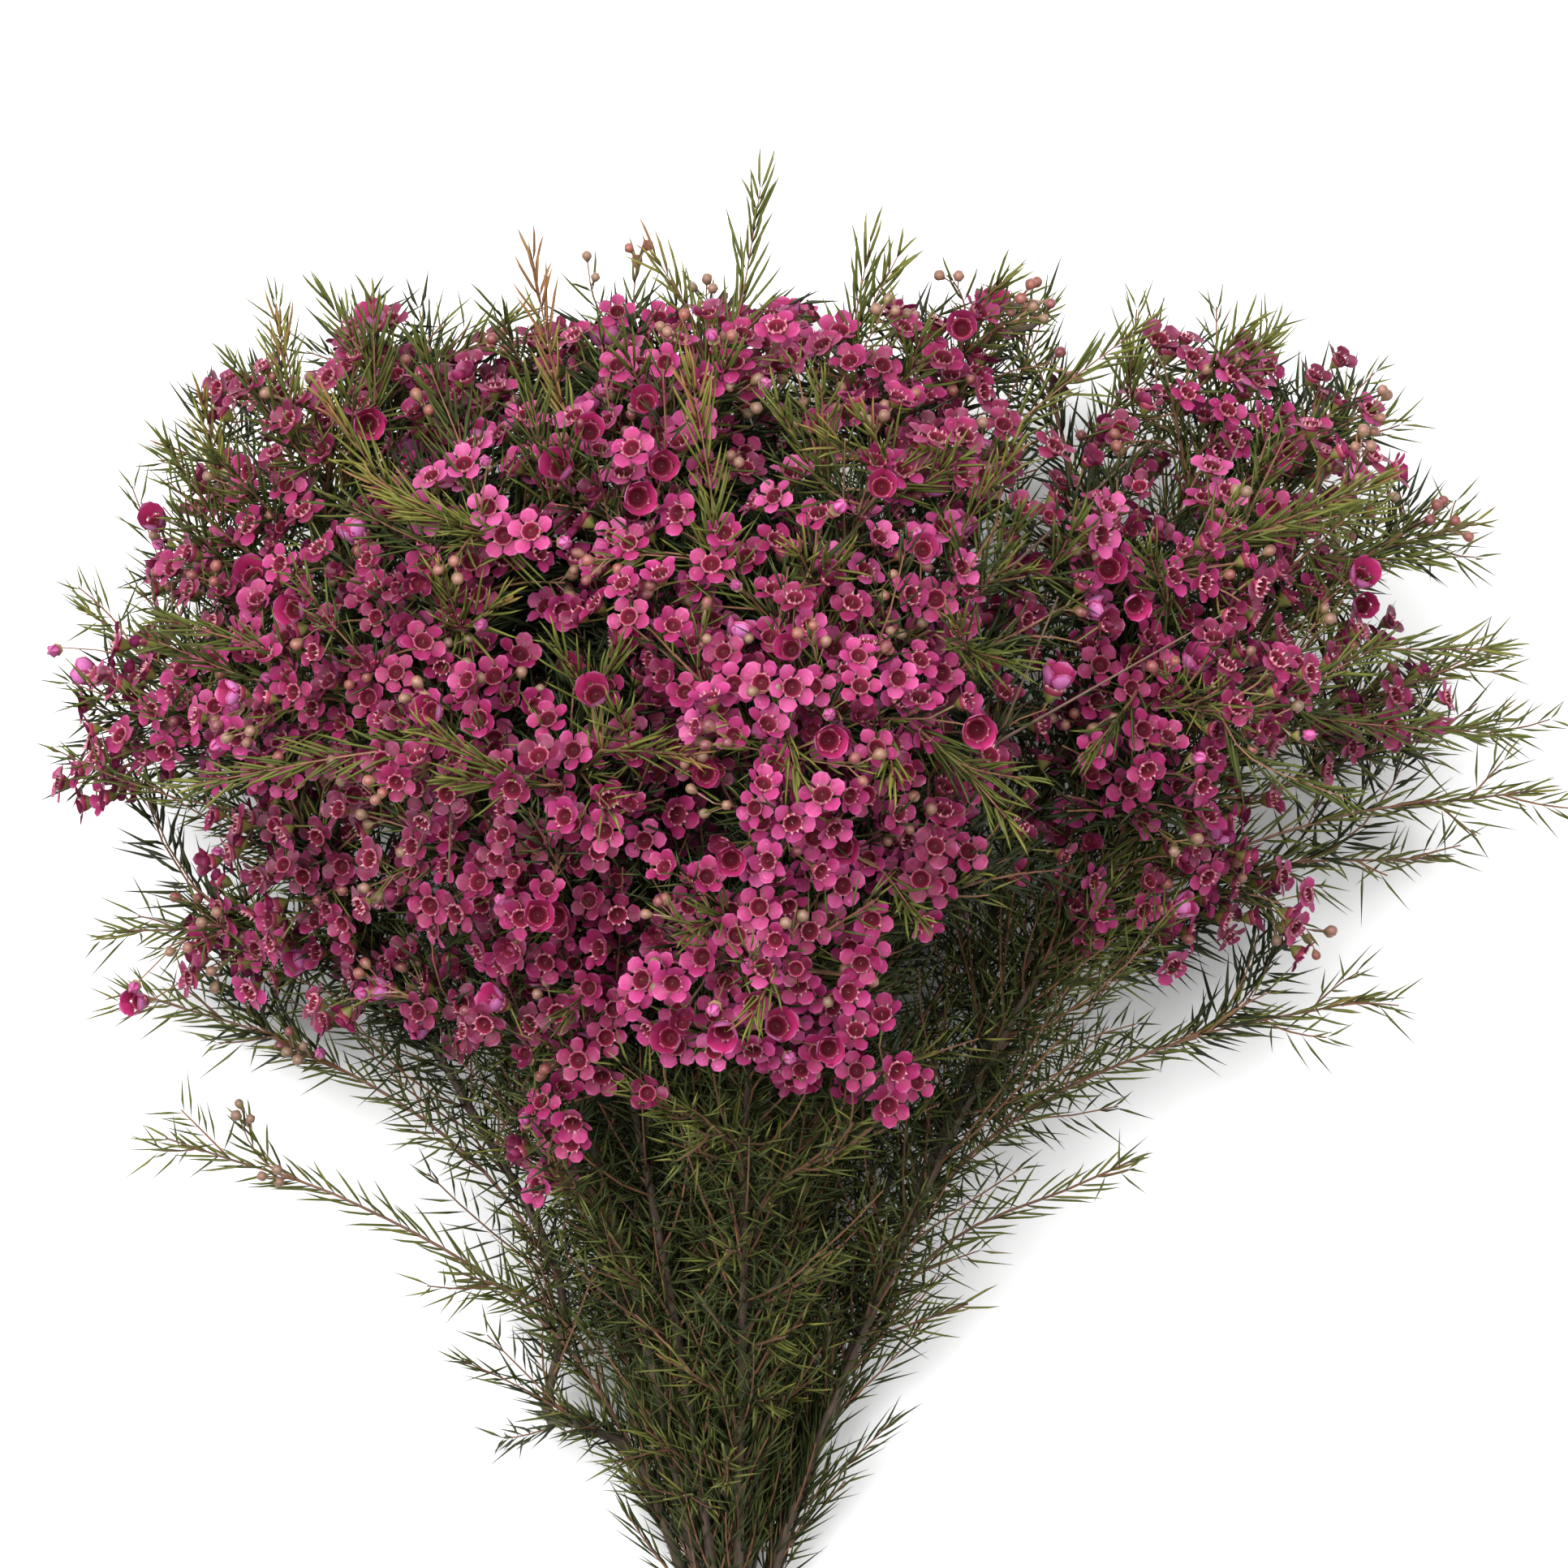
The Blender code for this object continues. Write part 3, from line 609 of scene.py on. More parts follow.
leaf = Finish("waxflower_leaf")
_, along, tint = leaf.place()
dots = leaf.noise(700.0)
# The low end of this ramp, nearly black-green, is the neck's dark green and also painted shade for leaves
# deep in the bunch.
shades = leaf.ramp(
    tint, (0.0, (0.018, 0.024, 0.006)), (0.25, (0.044, 0.055, 0.010)), (0.5, (0.088, 0.100, 0.016)),
    (0.72, (0.125, 0.132, 0.026)), (0.9, (0.20, 0.188, 0.035)), (1.0, (0.25, 0.12, 0.045)),
)
ends = leaf.ramp(along, (0.0, 0.6), (0.2, 0.95), (0.85, 1.0), (1.0, (1.0, 0.85, 0.55)))
green = leaf.mixed(1.0, shades, ends, "MULTIPLY")
green = leaf.mixed(leaf.times(dots, 0.3), green, (0.012, 0.022, 0.008))
leaf.surface(green, leaf.ramp(dots, (0.3, 0.55), (0.7, 0.75)), dots, 0.08 * MM, 0.22)

fine_needle = needle_mesh(((0, 0), (0.35, 1), (1, 0)))
curved_needle = needle_mesh(((0, 0), (0.25, 1), (0.7, 0.85), (1, 0)))
leaf_meshes = []
for owner, points in enumerate(stems):
    bm = bmesh.new()
    for twig in stem_twigs[owner]:
        dress(bm, curved_needle, twig, 10 * MM, PAIR_SPACING, 0.55, (24, 48))
    for path, tint in [(path, tint) for mine, path, tint in shoots if mine == owner]:
        height = path[0].y
        leans = LOW_LEANS if height < LOW_END else NECK_LEANS if height < NECK_LEAN_END else SHOOT_LEANS
        dress(bm, fine_needle, path, 3 * MM, PAIR_SPACING, tint, leans)
    for low, high, leans in ((0.045, 0.12, LOW_LEANS), (0.12, 0.34, NECK_LEANS)):
        leafy = [point for point in points if low < point.y < high]
        dress(bm, fine_needle, leafy, 0, CLOSE_SPACING, 0.0, leans)
    leaf_meshes.append(bm)
for name, bm in zip(stem_names, leaf_meshes):
    leaves = piece(bm, f"{name}_leaves", leaf.material, math.pi)
    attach(leaves, "root")
    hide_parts(name)


# The flowering twigs: the ends of the flowering branches in the imported model, and thinner
# ones between them that reach the places where the photograph shows flowers, leafy tips,
# half-open flowers and buds.
# Each group's first value is the petal tint of its flowers: high for masses in the light and low for masses
# in shade, so it is partly painted light and shade and partly the flowers' own colour.
FLOWER_MASSES = (
    (0.6, (
        (590, 570, 95, 55), (235, 690, 35, 45), (170, 840, 55, 40), (270, 880, 110, 70),
        (760, 650, 115, 110), (800, 560, 85, 70), (850, 480, 90, 60), (1060, 700, 135, 110),
        (960, 760, 60, 60), (1100, 880, 65, 60), (965, 855, 130, 60), (950, 1035, 80, 60),
        (1055, 1060, 60, 55), (1000, 1170, 100, 90), (880, 1235, 60, 50), (1000, 1290, 90, 35),
        (830, 1275, 30, 25), (1535, 495, 60, 40), (1420, 660, 95, 75), (1370, 715, 60, 60),
    )),
    (0.44, (
        (565, 470, 60, 60), (330, 640, 75, 55), (400, 720, 130, 60), (150, 950, 45, 35),
        (560, 850, 120, 75), (720, 1035, 55, 55), (700, 1140, 90, 60), (780, 430, 80, 50),
        (905, 405, 80, 40), (990, 445, 45, 35), (1065, 495, 60, 40), (870, 790, 80, 50),
        (900, 1140, 60, 70), (310, 1145, 60, 60), (1630, 515, 45, 55), (1550, 705, 60, 70),
        (1660, 640, 60, 60), (1350, 800, 55, 45), (1325, 890, 50, 50), (1725, 855, 35, 40),
        (1400, 970, 70, 55), (1505, 1025, 60, 50), (1460, 1110, 60, 50), (1320, 1100, 30, 35),
        (1560, 1130, 30, 25), (1130, 1010, 60, 60), (660, 1380, 55, 30),
    )),
    (0.24, (
        (310, 490, 50, 40), (480, 425, 60, 40), (430, 510, 45, 35), (490, 790, 85, 60), (360, 900, 80, 60),
        (440, 960, 60, 55), (330, 1030, 60, 40), (420, 1065, 60, 60), (690, 950, 85, 65),
        (580, 1040, 100, 80), (1185, 430, 95, 70), (1215, 560, 65, 60), (700, 1270, 50, 50),
        (555, 1230, 55, 40), (400, 1140, 35, 30), (450, 1225, 35, 25), (1445, 485, 65, 50),
        (1570, 790, 95, 60), (1490, 860, 85, 60), (1585, 900, 80, 50),
    )),
)
# Places for flowers set deep in the bunch; their dark petal tint is painted shade.
DEEP_MASSES = (
    (1250, 830, 70, 100), (1190, 920, 60, 60), (1290, 650, 55, 60), (1180, 640, 50, 60),
    (1300, 1000, 60, 60), (830, 860, 60, 130), (640, 760, 60, 60), (520, 640, 60, 50),
    (1000, 960, 60, 50), (780, 1130, 50, 70), (1480, 760, 70, 50), (1420, 880, 60, 50),
    (640, 1150, 60, 60), (500, 1150, 60, 60), (1110, 800, 50, 60), (700, 480, 50, 60),
    (950, 560, 50, 60), (1120, 560, 50, 60), (300, 760, 60, 50), (1560, 600, 60, 50),
)
# Places for filler twigs deep in the bunch, whose leaves take the darkest tint as painted shade.
INNER_PLACES = (
    (634, 777, 60, 60), (683, 864, 60, 60), (981, 670, 60, 60), (728, 657, 80, 80), (926, 672, 80, 80),
    (692, 760, 80, 80), (700, 490, 80, 60), (755, 830, 60, 60), (515, 620, 70, 70), (850, 560, 80, 80),
)
BARE_STEMS = (
    (0.5, (1280, 935), (1304, 735)), (0.5, (1300, 910), (1505, 758)),
    (0.5, (1436, 640), (1530, 538)), (0.45, (480, 930), (503, 1080)), (0.45, (510, 980), (553, 1085)),
    (0.45, (770, 1190), (802, 1300)), (0.5, (1340, 640), (1420, 540)),
)
LEAFY_SPRAYS = (
    (488, 464, 404, 368, 5), (478, 509, 459, 370, 5), (359, 565, 344, 405, 8), (379, 585, 294, 456, 4),
    (255, 590, 240, 492, 9), (265, 645, 195, 542, 5), (275, 700, 208, 630, 4), (459, 612, 404, 496, 8),
    (518, 680, 419, 618, 4), (650, 688, 466, 598, 8), (640, 670, 500, 625, 7), (628, 470, 608, 374, 3),
    (673, 455, 657, 322, 10), (673, 625, 653, 474, 4), (877, 585, 852, 462, 8), (886, 520, 893, 438, 4),
    (926, 350, 937, 234, 6), (852, 368, 806, 314, 8), (868, 730, 878, 640, 5), (568, 790, 546, 712, 7),
    (566, 785, 620, 736, 7), (728, 850, 690, 800, 6), (724, 845, 762, 806, 5), (620, 960, 528, 900, 7),
    (620, 965, 560, 962, 6), (790, 925, 760, 880, 7), (800, 925, 846, 930, 8), (419, 925, 232, 968, 6),
    (344, 795, 203, 762, 5), (280, 832, 184, 786, 4), (330, 620, 262, 560, 3), (995, 590, 958, 498, 5),
    (1003, 580, 1012, 480, 6), (1114, 585, 1022, 540, 8), (1110, 570, 1065, 515, 7),
    (1169, 648, 1246, 558, 7), (1150, 600, 1180, 566, 6), (1004, 720, 985, 680, 8),
    (1006, 720, 1035, 690, 7), (1208, 740, 1260, 636, 4), (1208, 810, 1180, 770, 5),
    (1206, 808, 1250, 816, 5), (1044, 420, 1108, 312, 7), (1046, 410, 1072, 300, 6),
    (1199, 380, 1244, 334, 6), (1288, 485, 1400, 407, 6), (1378, 515, 1404, 425, 6),
    (1487, 475, 1543, 393, 6), (1500, 470, 1570, 412, 6), (1517, 662, 1690, 598, 7),
    (1500, 655, 1690, 628, 6), (1591, 862, 1700, 795, 5), (1213, 970, 1242, 1010, 6),
    (1212, 965, 1262, 960, 5), (968, 880, 982, 956, 7), (1094, 905, 1100, 955, 7),
    (970, 1150, 930, 1250, 7), (1095, 1080, 1130, 1130, 5), (900, 1110, 850, 1150, 5),
    (1620, 700, 1760, 690, 5), (1680, 820, 1838, 800, 6), (1640, 905, 1850, 905, 5),
    (790, 500, 770, 430, 4), (560, 520, 520, 430, 3), (440, 560, 420, 470, 4), (740, 1210, 690, 1260, 3),
    (1300, 720, 1330, 640, 4), (1440, 760, 1420, 680, 4), (1560, 960, 1660, 985, 4),
    (1390, 870, 1350, 930, 3), (1130, 470, 1140, 400, 4), (700, 620, 690, 540, 3),
)
HALF_OPEN = (
    (700, 585), (725, 540), (810, 575), (780, 612), (1085, 605), (1135, 685), (740, 865), (765, 785),
    (703, 835), (870, 952), (965, 565), (990, 443), (1015, 910), (982, 805), (900, 1055), (950, 1268),
    (1017, 1290), (1047, 1303), (833, 1278), (1665, 722), (1668, 748), (1362, 702), (1392, 740), (838, 388),
    (798, 505), (188, 1232), (660, 1130), (1200, 895), (1185, 408), (375, 752),
)
CLOSED = (
    (913, 727), (968, 1300), (617, 1108), (78, 798), (457, 1226), (938, 476), (588, 770), (395, 1302),
    (172, 1208), (885, 1232), (1128, 655), (600, 575), (690, 668), (975, 508),
)
BUD_GROUPS = (
    (785, 325), (727, 347), (1175, 347), (1262, 367), (1266, 390), (1295, 448), (1023, 490), (1105, 500),
    (1000, 505), (238, 1112), (268, 1137), (240, 1165), (375, 1300), (362, 1290), (305, 1385), (295, 1378),
    (432, 955), (400, 965), (345, 930), (480, 970), (880, 990), (862, 935), (895, 915), (625, 518),
    (290, 600), (265, 718), (1690, 603), (1784, 652), (1762, 640), (1690, 505), (1675, 560), (1380, 548),
    (1345, 548), (705, 548), (900, 578), (865, 775), (1000, 790), (1090, 790), (340, 1450), (1050, 945),
    (830, 1130), (975, 1150), (985, 1310), (1450, 1040), (1610, 1145), (1210, 545), (530, 520), (1620, 770),
    (870, 365), (820, 430), (610, 420), (1080, 400), (740, 690), (560, 690), (460, 700), (310, 900),
    (1440, 830), (1520, 620),
)
CLUSTER_SPACING = 14.5 * MM
INNER_SPACING = 15 * MM
CARRIER_STEP = 5 * MM
LOWEST_CARRIER = 0.15
FLOWER_FLOOR = 9 * MM
FOUND_ROUND = 95
SHORTEST_TWIG = 14 * MM
BEST_FORK = 0.6
WIDEST_FORK = 1.3
WIDEST_TURN = 1.45
SPRAY_RISE = 22 * MM
FEW_LEANS = (24, 50)
THICK_END = 0.6 * MM
THIN_END = 0.36 * MM


def tree_of(points):
    tree = KDTree(len(points))
    for i, point in enumerate(points):
        tree.insert(point, i)
    tree.balance()
    return tree


carriers = []
for twigs in stem_twigs + head_twigs:
    for twig in twigs:
        path = resampled(twig, CARRIER_STEP)
        carriers += list(zip(path, headings_of(path)))
for points in stems:
    carriers += [(p, h) for p, h in zip(points, headings_of(points)) if p.y > LOWEST_CARRIER]
carrier_tree = tree_of([point for point, _ in carriers])
flat_tree = tree_of([Vector((*seen_at(point), 0)) for point, _ in carriers])


def over(column, row, lift, around=FOUND_ROUND):
    """The place that shows at a pixel of the photograph, this far over the highest twig there."""
    heights = [carriers[i][0].z for _, i, _ in flat_tree.find_range(Vector((column, row, 0)), around)]
    if not heights:
        return None
    height = max(max(heights) + lift, FLOWER_FLOOR)
    scale = pixels_per_metre(height)
    across = CAMERA_PLACE.x + (column - PHOTO_SIDE / 2) / scale
    return Vector((across, CAMERA_PLACE.y - (row - PHOTO_SIDE / 2) / scale, height))


def twig_to(target, longest):
    """A curved twig to a target, from the place where it would fork off most naturally."""
    best = None
    for point, i, distance in carrier_tree.find_range(target, longest):
        heading = carriers[i][1]
        reach = target - point
        if distance < SHORTEST_TWIG:
            continue
        fork = heading.angle(reach)
        if fork > WIDEST_FORK or reach.angle(target) > WIDEST_TURN:
            continue
        cost = distance * (0.5 + abs(fork - BEST_FORK))
        if best is None or cost < best[0]:
            best = (cost, point, heading)
    if best is None:
        return None
    _, start, heading = best
    path = arc(start, start + heading * (target - start).length * BEND, target, 4)
    for point in path:
        point.z = max(point.z, LOWEST * 2)
    return path


def fill(ends, ellipse, spacing, depths, area, wide=1.0, waves=0):
    """Adds twigs that end in an ellipse of the photograph, between two depths in millimetres.

    There is one try for each area in square pixels, and eight more.
    """
    column, row, half_width, half_height = ellipse
    raised = draw.uniform(-10, 9) * waves
    for _ in range(8 + half_width * half_height // area):
        turn = draw.uniform(0, math.tau)
        share = math.sqrt(draw.random()) * wide
        across = half_width * share * math.cos(turn)
        down = half_height * share * math.sin(turn)
        lift = (raised + draw.uniform(*depths)) * MM
        target = over(column + across, row + down, lift, FOUND_ROUND * wide)
        if target is None or any((target - end[-1]).length < spacing for end in ends):
            continue
        if open_place(target):
            continue
        path = twig_to(target, 85 * MM)
        if path:
            ends.append(path)


leafy_sprays = []
for column, row, tip_column, tip_row, tenths in LEAFY_SPRAYS:
    root = over(column, row, -6 * MM, 140)
    tip = over(tip_column, tip_row, 12 * MM, 260)
    if root and tip:
        tip.z = min(tip.z, root.z + SPRAY_RISE)
        place = carrier_tree.find(root)[0]
        leafy_sprays.append((resampled([place, root.lerp(place, 0.3), tip], 8 * MM), tenths / 10))

bare_stems = []
for youth_share, *pixels in BARE_STEMS:
    points = [over(column, row, 0, 140) for column, row in pixels]
    if all(points):
        points[0] = carrier_tree.find(points[0])[0]
        bare_stems.append((resampled(points, 9 * MM), youth_share))

half_open, closed, bud_tips = [], [], []
for pixels, lift, made in ((HALF_OPEN, 9, half_open), (CLOSED, 9, closed), (BUD_GROUPS, 10, bud_tips)):
    for column, row in pixels:
        target = over(column, row, lift * MM * draw.uniform(0.8, 1.2))
        path = twig_to(target, 90 * MM) if target else None
        if path:
            made.append(path)

cluster_ends, cluster_tints_and_painted_light, deep_ends, inner_ends = [], [], [], []
for shade, ellipses in FLOWER_MASSES:
    for ellipse in ellipses:
        fill(cluster_ends, ellipse, CLUSTER_SPACING, (-16, 2), 220, waves=1)
        cluster_tints_and_painted_light += [shade] * (len(cluster_ends) - len(cluster_tints_and_painted_light))
for ellipse in DEEP_MASSES:
    fill(deep_ends, ellipse, CLUSTER_SPACING, (-48, -26), 300)
for ellipse in INNER_PLACES:
    fill(inner_ends, ellipse, INNER_SPACING * 0.7, (-95, -30), 160)
fillers = inner_ends[:]
for _, ellipses in FLOWER_MASSES:
    for ellipse in ellipses:
        fill(inner_ends, ellipse, INNER_SPACING, (-90, -34), 300, 1.35, 1)

bm = bmesh.new()
for twig in [twig for twigs in head_twigs for twig in twigs]:
    path = resampled(twig, 8 * MM)
    limb(bm, path, tapered(TWIG_RADIUS, THICK_END, len(path)), 5, 0.8)
for path in cluster_ends:
    limb(bm, path, tapered(THICK_END, THIN_END, len(path)), 4, 0.95)
for path in [path for path, _ in leafy_sprays] + half_open + closed + bud_tips:
    limb(bm, path, tapered(0.5 * MM, 0.3 * MM, len(path)), 4, 0.95)
for path in inner_ends + deep_ends:
    limb(bm, path, tapered(THICK_END, THIN_END, len(path)), 3, 0.9)
for path, youth_share in bare_stems:
    limb(bm, path, tapered(THICK_END, 0.35 * MM, len(path)), 5, youth_share)
flowering_twigs = piece(bm, "flowering_twigs", bark.material)
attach(flowering_twigs, "root")
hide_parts(*head_names)

bm = bmesh.new()
# Leaves deep in the bunch take the darkest tint, which is painted shade.
for path in inner_ends + deep_ends:
    dress(bm, fine_needle, path, 4 * MM, PAIR_SPACING, 0.0, (36, 75), 1.2, 0.05)
for path in fillers:
    dress(bm, fine_needle, path, 6 * MM, PAIR_SPACING * 1.3, 0.0, (30, 85), 1.35, 0.0)
for path in cluster_ends:
    tint = tint_by_core_shade(path[-1], CORE_SHADE_TINT, 0.25)
    dress(bm, fine_needle, path[:-1], 2 * MM, PAIR_SPACING * 2.2, tint, FEW_LEANS, 0.9, 0.08)
for twig in [twig for twigs in head_twigs for twig in twigs]:
    tint = tint_by_core_shade(twig[-1], CORE_SHADE_TINT, PALE_TINT)
    dress(bm, fine_needle, twig, 2 * MM, PAIR_SPACING * 1.8, tint, FEW_LEANS, 0.9, 0.08)
for path, shade in leafy_sprays:
    dress(bm, curved_needle, path, 4 * MM, 4.2 * MM, shade - 0.08, (14, 42), 1.05)
for path in bud_tips:
    dress(bm, curved_needle, path, 8 * MM, PAIR_SPACING * 1.3, 0.42, (28, 50), 0.8)
twig_leaves = piece(bm, "flowering_twig_leaves", leaf.material, math.pi)
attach(twig_leaves, "root")
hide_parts(*head_names)


# Where each flower stands: on a thin stalk from its twig, facing out of the bunch, with
# room for its neighbours.  Most are open, some are spent, half open or still closed.
PACKED_TIP_EDGE = 9.0 * MM
PACKED_FLOWER = 23 * MM
FLOWER_GAP = 10.9 * MM
FLOWER_TOP = 380
SHADED_STRIP = (1262, 760, 62, 250)
DOME_CENTRE = Vector((15, 300, 60)) * MM
CALYX_DEPTH = 5.2 * MM
STALK_REACH = 14 * MM
STATES = ("open", "spent", "half_open", "closed")
STATE_SIZES = {"spent": 0.86, "half_open": 1.15}

flowers = []
taken = {}


def packed_flowers(node):
    """The middle of each of a node's flowers, from its petals' straight tips."""
    bm = merged(node)
    tips = []
    for edge in bm.edges:
        if abs(edge.calc_length() - PACKED_TIP_EDGE) < 0.03 * MM:
            tips.append((edge.verts[0].co + edge.verts[1].co) / 2)
    bm.free()
    found = []
    while tips:
        first = tips.pop(0)
        ring = [first] + [tip for tip in tips if (tip - first).length < PACKED_FLOWER]
        near = sorted(ring, key=lambda tip: (tip - first).length)[:5]
        tips = [tip for tip in tips if tip not in near]
        if len(near) >= 3:
            found.append(sum(near, Vector()) / len(near))
    return found


def cell(point):
    return tuple(int(v // FLOWER_GAP) for v in point)


def crowded(point, gap):
    for step in itertools.product((-1, 0, 1), repeat=3):
        near = taken.get(tuple(a + b for a, b in zip(cell(point), step)), ())
        if any((other - point).length < gap for other in near):
            return True
    return False


def out_of_bunch(point):
    away = (point - DOME_CENTRE).normalized()
    away.z = max(away.z, -0.25)
    return away.normalized()


wood_tree = tree_of(sum(cluster_ends + inner_ends + deep_ends, [point for point, _ in carriers]))


def bloom(state, root, middle, facing, shade):
    """Notes one flower: its state, its place as a matrix, the root of its stalk, its shade."""
    column, row = seen_at(middle)
    # In the shaded strip only flowers with a dark tint stay, so that their painted shade matches it.
    pale = shade > 0.2 and state != "half_open"
    if row < FLOWER_TOP or (pale and within(SHADED_STRIP, column, row)):
        return
    size = draw.uniform(0.88, 1.1) * STATE_SIZES.get(state, 1)
    shade = min(0.8, max(0.0, draw.gauss(shade, 0.06)))
    flowers.append((state, looking(middle, facing, any_way(), (size, size, size)), root, shade))
    taken.setdefault(cell(middle), []).append(middle)


def near_tip(run, spread, attempt):
    """A place near the end of a twig, its heading, and a direction across it."""
    back = min(len(run) - 1, int(abs(draw.gauss(0, spread))))
    heading = headings_of(run)[-1 - back]
    return run[-1 - back], heading, sideways(heading, attempt * GOLDEN_ANGLE)


def flowers_round(path, wanted, shares=(0.82, 0.12, 0.04, 0.02), shade=0.45):
    """Adds flowers on stalks round the end of a twig, with these shares of the states."""
    run = resampled(path, 2 * MM)
    shade = draw.gauss(shade, 0.13)
    made = 0
    for attempt in range(wanted * 3):
        if made == wanted:
            break
        root, heading, ring = near_tip(run, 6, attempt)
        away = out_of_bunch(root)
        stalk = (heading * 0.6 + ring * draw.uniform(0.4, 1.1) + away * 0.5).normalized()
        middle = root + stalk * draw.uniform(10, 15) * MM
        if middle.z < FLOWER_FLOOR or crowded(middle, FLOWER_GAP):
            continue
        facing = (stalk * 0.8 + away * 0.6 + Vector((0, 0, 0.22)) + any_way(0.3)).normalized()
        bloom(draw.choices(STATES, shares)[0], root, middle, facing, shade)
        made += 1


for state, paths in (("half_open", half_open), ("closed", closed)):
    for path in paths:
        heading = (path[-1] - path[-2]).normalized()
        facing = (heading * 0.35 + Vector((0, 0, 1)) + any_way(0.14)).normalized()
        bloom(state, path[-1], path[-1] + facing * (CALYX_DEPTH + 2 * MM), facing, 0.8)
for path, shade in zip(cluster_ends, cluster_tints_and_painted_light):
    flowers_round(path, draw.choice((3, 4, 4, 5)), shade=shade)
# Deep flowers get a dark petal tint as painted shade.
for path in deep_ends:
    flowers_round(path, draw.choice((2, 3)), (0.7, 0.3, 0, 0), 0.1)
# The few flowers deep inside get the darkest petal tint, as painted shade.
for path in inner_ends:
    if draw.random() < 0.06:
        flowers_round(path, 1, (0.6, 0.4, 0, 0), 0.05)
for name, twigs in zip(head_names, head_twigs):
    for twig in twigs:
        flowers_round(twig, draw.choice((1, 2, 3)))
    for middle in packed_flowers(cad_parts[name]):
        place = middle + any_way(5 * MM)
        facing = (out_of_bunch(middle) + any_way(0.35) + Vector((0, 0, 0.1))).normalized()
        root, _, distance = wood_tree.find(place - facing * STALK_REACH)
        if place.z > FLOWER_FLOOR and distance < 16 * MM and not crowded(place, FLOWER_GAP):
            bloom("open", root, place, facing, draw.gauss(0.4, 0.15))


# The petals: five to a flower, round, waxy and hollowed like spoons, each on a short claw.
# Open ones are magenta pink.  Half-open ones are lilac outside and carmine inside.
PETAL_RADIUS = 3.05 * MM
PETAL_CENTRE = 4.95 * MM
PETAL_ROOT = -0.5 * MM
PETAL_THICKNESS = 0.28 * MM
OUTSIDE = 10.0
PETAL_SHAPES = {
    "open": ((0.18, 0.24, 0.03, 0.13), (0.42, 0.26, 0.05, 0.16), (-0.05, 0.20, 0.08, 0.20)),
    "spent": ((0.75, 0.35, 0.13, 0.22), (0.35, -0.25, 0.16, 0.28)),
    "half_open": (
        (1.08, 0.32, 0.12, 0.05, 6.2 * MM, 3.5 * MM),
        (0.94, 0.30, 0.15, 0.07, 6.0 * MM, 3.5 * MM),
    ),
    "closed": ((1.22, 0.35, 0.34, 0.02, 4.8 * MM, 2.9 * MM),),
}
PETAL_TINTS = {"spent": (0.10, 0.08), "half_open": (0.93, 0.03), "closed": (0.86, 0.05)}
CLOSED_SIZE = 0.8


def petal_mesh(raised, cupped, curl, loose, centre=PETAL_CENTRE, radius=PETAL_RADIUS):
    """Five petals round +Z, each turned up about its root by about the angle raised.

    The attribute named place holds how far across and along its petal a point is.  Across
    is ten more on the outside.
    """
    bm = bmesh.new()
    for k in range(5):
        one = bmesh.new()
        layer = one.verts.layers.float_vector.new("place")
        rim = bmesh.ops.create_circle(one, cap_ends=True, segments=8, radius=1)["verts"]
        inside = bmesh.ops.extrude_discrete_faces(one, faces=rim[0].link_faces[:])["faces"][0]
        outside = one.faces.new(rim)
        shells = [(inside, 0.5)]
        if curl > 0.1:
            outside = bmesh.ops.extrude_discrete_faces(one, faces=[outside])["faces"][0]
            shells.append((outside, -0.5))
        for face, level in shells:
            bmesh.ops.scale(one, vec=(0.6, 0.6, 1), verts=face.verts)
            bmesh.ops.translate(one, vec=(0, 0, level), verts=face.verts)
        for face, level in ((inside, 0.5), (outside, -0.5)):
            bmesh.ops.poke(one, faces=[face])["verts"][0].co.z = level
        for vert in one.verts:
            x, y, level = vert.co
            vert[layer] = (x if level > -0.1 else x + OUTSIDE, (y + 1) / 2, 0)
            vert.co.x = x * radius * (1 - 0.3 * max(0.0, -y)) * (1 + draw.gauss(0, loose * 0.2))
            vert.co.y = y * radius * (0.78 if y < 0 else 1) * (1 + draw.gauss(0, loose * 0.15))
            vert.co.z = (x * x * cupped + (y + 1) ** 2 * curl) * radius + level * PETAL_THICKNESS
            vert.co.z += draw.gauss(0, loose * 0.25) * radius * (y + 1) / 2
        turned = Matrix.Rotation(draw.gauss(0, loose), 4, "Y")
        raising = Matrix.Rotation(raised + draw.gauss(0, loose), 4, "X")
        turned = raising @ Matrix.Translation((0, radius, 0)) @ turned
        turned = Matrix.Translation((0, centre - radius, PETAL_ROOT)) @ turned
        turned = Matrix.Rotation(math.tau * k / 5 + draw.gauss(0, loose * 0.3), 4, "Z") @ turned
        bmesh.ops.transform(one, matrix=turned, verts=one.verts)
        join(bm, one)
    return mesh_of(bm, "petals")


petal = Finish("waxflower_petal")
across, along, tint = petal.place()
backs = petal.node("ShaderNodeMath", {0: across, 1: OUTSIDE / 2}, operation="GREATER_THAN")
streaks = petal.vector(petal.times(across, 5.0), petal.times(along, 1.1), petal.times(tint, 40.0))
veins = petal.noise(1.0, 3.0, streaks)
blush = petal.noise(260.0, 2.0)
